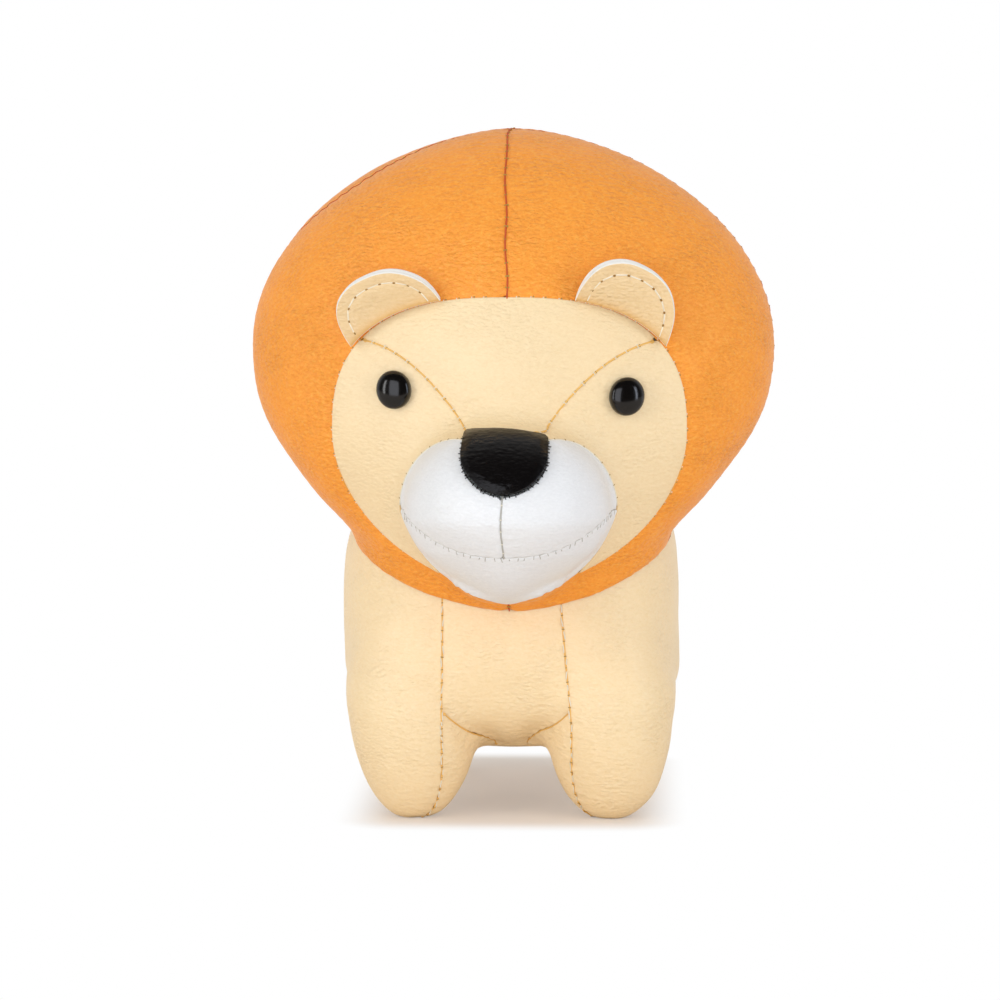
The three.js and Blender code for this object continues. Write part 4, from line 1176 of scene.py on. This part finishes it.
def ear(own, side):
    """Two half-round plies on a base that follows the face seam."""
    start, end = face_at(side * EAR_INNER[0], EAR_INNER[1]), face_at(side * EAR_OUTER[0], EAR_OUTER[1])
    middle = face_at(side * (EAR_INNER[0] + EAR_OUTER[0]) / 2, (EAR_INNER[1] + EAR_OUTER[1]) / 2)
    out = face_normal(middle)
    along = side * (end - start)
    along = unit(along - (along @ out) * out)
    rise = math.cos(EAR_LEAN) * np.cross(out, along) + math.sin(EAR_LEAN) * out
    facing = np.cross(along, rise)
    origin = middle + (EAR_PLY + 0.45) * out

    # The face seam from beside the eye to near the crown, by its place along the ear's base
    turns = np.linspace(0.12, 1.45, 60)
    seam_x = FACE_HALF_WIDTH * np.cos(turns) ** (2 / FACE_TOP_ROUND)
    seam_z = FACE_MID_Z + FACE_TOP * np.sin(turns) ** (2 / FACE_TOP_ROUND)
    seam_points = np.array([face_at(side * x, z) for x, z in zip(seam_x, seam_z)])
    seam_points = seam_points + EAR_BASE_LIFT * unit(slope(head_field, seam_points))
    place = (seam_points - origin) @ along
    order = np.argsort(place)

    def bent(flat, lift):
        """A place on the flat ear, with its base drawn onto the seam."""
        u, v = flat.T
        base = between(u, place[order], seam_points[order])
        level = origin + u[:, None] * along
        hold = step(1 - v / 8)[:, None]
        cup = 0.9 * (u / EAR_HALF_WIDTH) ** 2 * (v / EAR_HEIGHT)
        cup = cup - 0.5 * np.sin(math.pi * clipped(v / EAR_HEIGHT))
        return level + hold * (base - level) + v[:, None] * rise + (lift + cup)[:, None] * facing

    insets = np.array([0, 0.35, 0.8, 1.4, 1.9, 2.25, 2.6, 2.95, 3.3, 4, 5, 6, 7, 8, 9, 10, 11, 12])
    arc = ear_outline(np.linspace(0, 1, EAR_RAYS + 1), own, side)
    flat = ((1 - insets / EAR_HEIGHT)[:, None, None] * arc[None]).reshape(-1, 2)
    flat = np.concatenate([flat, [[0.0, 0.0]]])
    last = (len(insets) - 1) * (EAR_RAYS + 1)
    fan = [[last + i, last + i + 1, len(flat) - 1] for i in range(EAR_RAYS)]
    triangles = np.concatenate([lattice(len(insets), EAR_RAYS + 1), fan])
    inset = np.concatenate([np.repeat(insets, EAR_RAYS + 1), [EAR_HEIGHT]])
    groove = -TOPSTITCH_DEPTH * hump(inset - TOPSTITCH_INSET, 0.45)
    wave = 0.25 * clouds(np.column_stack([flat, np.full(len(flat), 3.0 * side)]), 6.0, 31)

    x, y = arc.T
    area = 0.5 * abs(np.sum(x[:-1] * y[1:] - x[1:] * y[:-1])) * MM**2
    facts = dict(flat=(2 * EAR_HALF_WIDTH * MM, EAR_HEIGHT * MM), held="stretched", area=area)
    ear_body, slot = f"ear_{own}", "ear_leather"
    front = bent(flat, PLY_GAP + EAR_PLY + groove + wave)
    # The front ply is painted darker and more golden towards its base: painted shade where it tucks under
    # the face's edge
    ply(f"ear_{own}_front", front, triangles, ear_body, slot, EAR_PLY,
        dye_and_shade=0.75 * np.exp(-flat[:, 1] / 1.1), rests_on=[f"ear_{own}_back"], **facts)
    shifted = flat + np.outer(clipped(flat[:, 1] / 6), (-0.3 * side, -0.1))
    pared = EAR_PARED * clipped(1 - shifted[:, 1] / 4)
    back = bent(shifted, pared - PLY_GAP - EAR_PLY - groove + wave)
    ply(f"ear_{own}_back", back, triangles[:, ::-1], ear_body, slot, EAR_PLY - pared,
        rests_on=["forehead"], **facts)

    line = (1 - TOPSTITCH_INSET / EAR_HEIGHT) * ear_outline(np.linspace(0.0, 1.0, 90), own, side)
    run = level_run(bent(line, np.full(len(line), PLY_GAP + EAR_PLY - TOPSTITCH_DEPTH)), facing)
    stitches(f"ear_{own}_stitches", run, ear_body, slot, threads["ear"], TOPSTITCH_PITCH, 2.3,
             along=True, thread=0.36)
    stitches(f"ear_{own}_needle_holes", run, ear_body, slot, ear_hole, TOPSTITCH_PITCH, 0.55,
             offset=0.5, lift=0.02, along=True, thread=0.42)


for side, own in OWN_SIDES:
    ear(own, side)


def tail():
    """A strap of two plies that hangs from the back, with a tuft of two plies around its end."""
    root = met(body_field, np.array([0, TORSO_MID_Y, TAIL_ROOT_Z]), np.array([0.0, 1.0, 0.0]), 60)
    origin = root + np.array([0, TAIL_ROOM_Y, 0])
    widest = TORSO_MID_Y + TORSO_HALF_LENGTH + TAIL_ROOM_Y
    lean = math.atan((widest - origin[1]) / (TAIL_ROOT_Z - TORSO_MID_Z))
    down = np.array([0, math.sin(lean), -math.cos(lean)])
    away = np.array([0, math.cos(lean), math.sin(lean)])

    def placed(x, y, lift):
        return origin + np.outer(x, (1.0, 0, 0)) + np.outer(y, down) + np.outer(lift, away)

    rows, columns = 60, 19
    t, u = np.meshgrid(np.linspace(0, 1, rows), np.linspace(-1, 1, columns), indexing="ij")
    t, u = t.ravel(), u.ravel()
    triangles = lattice(rows, columns)
    strap_x, strap_y = u * (TAIL_HALF_WIDTH - 0.1), t * (TAIL_LENGTH - 0.1)
    groove = 0.14 * hump(np.minimum(TAIL_HALF_WIDTH - np.abs(strap_x), 4.0) - 1.4, 0.4)
    t = t * 0.97
    bulge = 2 * TUFT_HALF_WIDTH + TAIL_HALF_WIDTH
    tuft_x = u * (TAIL_HALF_WIDTH * (1 - t) ** 2 + bulge * t * (1 - t))
    tuft_y = TAIL_LENGTH - TUFT_LAP + TUFT_LENGTH * t
    bow = 0.5 * clipped(t - 0.3) ** 2
    strap_lift = PLY_GAP + TAIL_PLY
    tuft_lift = strap_lift + FIT_GAP + TAIL_PLY
    area = TUFT_LENGTH * (2 * TAIL_HALF_WIDTH / 3 + bulge / 3) * MM**2
    tuft = dict(flat=(2 * TUFT_HALF_WIDTH * MM, TUFT_LENGTH * MM), held="hung", area=area)
    outwards, inwards = triangles, triangles[:, ::-1]
    strap_lifts = ("back", strap_lift - groove, outwards), ("front", groove - strap_lift, inwards)
    tuft_lifts = ("back", tuft_lift + bow, outwards), ("front", -tuft_lift, inwards)
    for face, lift, winding in strap_lifts:
        ply(f"tail_strap_{face}", placed(strap_x, strap_y, lift), winding, "tail", "body_leather", TAIL_PLY)
    for face, lift, winding in tuft_lifts:
        ply(f"tail_tuft_{face}", placed(tuft_x, tuft_y, lift), winding, "tail", "mane_leather", TAIL_PLY,
            rests_on=[f"tail_strap_{face}"], **tuft)

    strap_end = TAIL_LENGTH - TUFT_LAP
    for side, own in OWN_SIDES[::-1]:
        line = placed(side * (TAIL_HALF_WIDTH - 1.4), np.linspace(1, strap_end - 1, 40), strap_lift - 0.12)
        stitches(f"tail_stitches_{own}", level_run(line, away), "tail", "body_leather", threads["white"],
                 TOPSTITCH_PITCH, 1.7, lift=0.05, along=True)
    line = placed(np.linspace(-3, 3, 30), strap_end + 1.5, tuft_lift + 0.02)
    stitches("tuft_stitches", level_run(line, away), "tail", "mane_leather", threads["mane"], 2.2, 1.5,
             lift=0.06, along=True)


tail()


# Sewn seams

ORANGE = dict(thread=threads["mane"], stitch=threads["olive"])
GOLDEN = dict(thread=threads["seam"], stitch=threads["light"], hole=needle_hole)
RUNNING = dict(**GOLDEN, length=1.6, along=True, thick=0.3, lift=0.12, cord=0.34)  # along the seam
OVERCAST = dict(stitch=nose_thread, towards=0.1, lift=-NOSE_RISE - 0.1)  # close, over the nose's edge

sew("crown_seam", "mane_front_left", "middle", **ORANGE, length=0.75, thick=0.36, cord=0.36, sunk=0.1)
sew("nape_seam", "mane_back_left", "middle", **ORANGE, length=0.5)
sew("brow_seam", "forehead", "brow", **GOLDEN, length=0.8, thick=0.26, cord=0.34, sunk=0.04, knot=0.95)
sew("muzzle_middle_seam", "muzzle_left", "middle", threads["grey"], threads["light"], length=0.4)
sew("mouth_seam", "chin", "mouth", stitch=threads["grey"], pitch=1.5, length=0.9, towards=-0.55, lift=0.0,
    thick=0.17, uneven=0.5)
sew("nose_edge", "nose", "nose", **OVERCAST, pitch=1.0, uneven=0.7)
sew("nose_top_edge", "nose", "nose_top", **OVERCAST, pitch=1.3, uneven=0.6)
for _, own in OWN_SIDES:
    sew(f"face_seam_{own}", f"mane_front_{own}", "face", threads["face_edge"], threads["light"],
        needle_hole, length=0.35, towards=-0.1, body="head")
    sew(f"rim_seam_{own}", f"mane_front_{own}", "rim", **ORANGE, length=0.6)
    sew(f"muzzle_seam_{own}", f"muzzle_{own}", "muzzle", threads["muzzle_edge"], needle_hole, length=0.4,
        towards=0.1)
    sew(f"strip_seam_{own}", f"side_{own}", "strip", **RUNNING)
    for place in inner:
        leg = f"inner_leg_{place}_{own}"
        sew(f"leg_seam_{place}_{own}", leg, "leg", **RUNNING)
        sew(f"crotch_seam_{place}_{own}", leg, "crotch", threads["seam"], knot=0.7)
sew("back_seam", "side_left", "middle", **RUNNING)


# Stuffing

PACKED = 2.8  # from a panel's face to the stuffing


def from_neck(p):
    return np.linalg.norm(p - NECK, axis=1)


def stuffed(field, other, room):
    """What a form's panels enclose, short of the other form and of the ball in the neck."""
    return lambda p: np.maximum(
        np.maximum(field(p) + PACKED, room - other(p)), NECK_BALL + 0.6 - from_neck(p)
    )


def stuffing(name, field, span, body, *nodes):
    form = meshed(field, span, STUFFING_CELL, rounds=1)
    piece = made(name, form.points, form.triangles.tolist(), body, "stuffing_fibre", fibre)
    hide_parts(*nodes)


leg_nodes = [f"leg_stuffing_{place}_{own}" for place in inner for _, own in OWN_SIDES]
stuffing("head_stuffing", stuffed(head_field, body_field, 1.5), HEAD_SPAN, NECK_LINE, "head_stuffing")
stuffing("body_stuffing", stuffed(body_field, head_field, 3.0), BODY_SPAN, SHOULDER_LINE,
         "torso_stuffing", *leg_nodes)
stuffing("neck_stuffing", lambda p: from_neck(p) - NECK_BALL, (NECK - 20, NECK + 20), "neck",
         "neck_stuffing")


# Camera and lights

AZIMUTH, ELEVATION = math.radians(2.0), math.radians(5.0)
CAMERA_DISTANCE, PIXELS_PER_MM, FRAME_PIXELS, SENSOR = 800.0, 4.93, 1000, 36.0
back = Vector((
    math.sin(AZIMUTH) * math.cos(ELEVATION),
    -math.cos(AZIMUTH) * math.cos(ELEVATION),
    math.sin(ELEVATION),
))
look = Vector((-2.7, SHIFT[1], 63.3))
camera = bpy.data.objects.new("camera", bpy.data.cameras.new("camera"))
scene.collection.objects.link(camera)
camera.location = (look + back * CAMERA_DISTANCE) * MM
camera.rotation_mode = "QUATERNION"
camera.rotation_quaternion = (-back).to_track_quat("-Z", "Y")
camera.data.sensor_width = SENSOR
camera.data.lens = SENSOR * PIXELS_PER_MM * CAMERA_DISTANCE / FRAME_PIXELS
camera.data.clip_start, camera.data.clip_end = 0.01, 20
scene.camera = camera

# In metres and watts. The lamps light what is matt. The soft box and the strips are only mirrored,
# in the eyes, the nose and the satin leatherette.
for name, place, aim, size, watts, code, unseen in (
    ("left_lamp", (-0.8, -0.75, 0.3), (0, 0, 0.08), (0.5, 0.75), 3.3, "ffffff", "glossy"),
    ("right_lamp", (0.85, -0.75, 0.28), (0, 0, 0.08), (0.4, 0.75), 3.3, "f2f5ff", "glossy"),
    ("front_lamp", (-0.05, -1.1, 0.04), (0, 0, 0.035), (0.9, 0.3), 2.6, "dceeff", "glossy"),
    ("top_lamp", (0, 0.0, 1.0), (0, 0, 0.05), (0.9, 0.9), 0.6, "ffffff", "glossy"),
    ("soft_box", (-0.4, -1.0, 0.25), (0, 0, 0.09), (0.75, 1.2), 6.0, "f4f6ff", "diffuse"),
    ("left_strip", (-0.95, -0.5, 0.3), (0, 0, 0.09), (0.16, 0.8), 2.2, "ffffff", "diffuse"),
    ("right_strip", (0.95, -0.5, 0.3), (0, 0, 0.09), (0.16, 0.8), 2.2, "e6eeff", "diffuse"),
):
    light = bpy.data.lights.new(name, "AREA")
    light.shape = "RECTANGLE"
    light.size, light.size_y = size
    light.energy = watts
    light.color = colour(code)[:3]
    lamp = bpy.data.objects.new(name, light)
    scene.collection.objects.link(lamp)
    lamp.location = place
    lamp.rotation_mode = "QUATERNION"
    lamp.rotation_quaternion = (Vector(aim) - Vector(place)).to_track_quat("-Z", "Y")
    setattr(lamp, f"visible_{unseen}", False)

world = scene.world or bpy.data.worlds.new("studio")
scene.world = world
world.use_nodes = True
room = world.node_tree
room.nodes.clear()

# White to the camera. To what shines, the room is dark behind the camera.
ray = node(room, "ShaderNodeLightPath").outputs
way = node(room, "ShaderNodeTexCoord").outputs["Generated"]
ahead = node(room, "ShaderNodeSeparateXYZ", _0=way).outputs["Y"]
dim = node(room, "ShaderNodeMapRange", Value=ahead, From_Min=-0.1, From_Max=0.5, To_Min=0.06, To_Max=1.0)
shiny = node(room, "ShaderNodeMath", {"operation": "MAXIMUM"}, _0=ray["Is Glossy Ray"],
             _1=ray["Is Transmission Ray"])
lit = node(room, "ShaderNodeMix", _0=shiny, _2=0.6, _3=dim)
seen = node(room, "ShaderNodeMix", _0=ray["Is Camera Ray"], _2=lit, _3=1.0)
background = node(room, "ShaderNodeBackground", Color=(1, 1, 1, 1), Strength=seen)
node(room, "ShaderNodeOutputWorld", Surface=background)

# The floor ends a little in front of the toy and goes far behind it
bpy.ops.object.select_all(action="DESELECT")
bpy.ops.mesh.primitive_plane_add(size=6, location=(0, 2.6, 0))
floor = settled()
floor.name = "studio_floor"

# White emulsion, rolled on: dull and even. Its warm cream tone is painted light, the warm light that
# the toy throws back on the floor. Beyond the toy's own shadow it is as white as the background, to
# the camera and in what mirrors the part behind the toy.
bounce_tinted_paint = plain("studio_paint_with_painted_bounce", "f4eadf", 0.9)
coat = bounce_tinted_paint.node_tree
ground = node(coat, "ShaderNodeTexCoord").outputs["Object"]
off = ground
for operation, by in (
    ("SUBTRACT", (0, 0.019, 0)),  # the middle of the four feet
    ("ABSOLUTE", (0, 0, 0)),
    ("SUBTRACT", (0.022, 0.039, 0)),  # from there to the feet
    ("MAXIMUM", (0, 0, 0)),
):
    off = node(coat, "ShaderNodeVectorMath", {"operation": operation}, _0=off, _1=by)
far = node(coat, "ShaderNodeVectorMath", {"operation": "LENGTH"}, _0=off).outputs["Value"]
# Even beside the feet a quarter of what the camera sees is the white glow: painted light that pales the
# toy's shadow
away = node(coat, "ShaderNodeMapRange", {"interpolation_type": "SMOOTHSTEP"}, Value=far, From_Min=0.001,
            From_Max=0.014, To_Min=0.25)
behind = node(coat, "ShaderNodeSeparateXYZ", _0=ground).outputs["Y"]
backdrop = node(coat, "ShaderNodeMapRange", Value=behind, From_Min=0.0, From_Max=0.1)
ray = node(coat, "ShaderNodeLightPath").outputs
white_to = node(coat, "ShaderNodeMath", {"operation": "MULTIPLY"}, _0=backdrop, _1=ray["Is Glossy Ray"])
for other in ("Is Camera Ray", "Is Transmission Ray"):
    white_to = node(coat, "ShaderNodeMath", {"operation": "MAXIMUM"}, _0=white_to, _1=ray[other])
share = node(coat, "ShaderNodeMath", {"operation": "MULTIPLY"}, _0=away, _1=white_to)
glow = node(coat, "ShaderNodeEmission", Color=(1, 1, 1, 1), Strength=1.0)
mixed = node(coat, "ShaderNodeMixShader", _0=share, _1=coat.nodes["Principled BSDF"], _2=glow)
node(coat, "Material Output", Surface=mixed)
floor.data.materials.append(bounce_tinted_paint)

scene.view_settings.view_transform = "Standard"
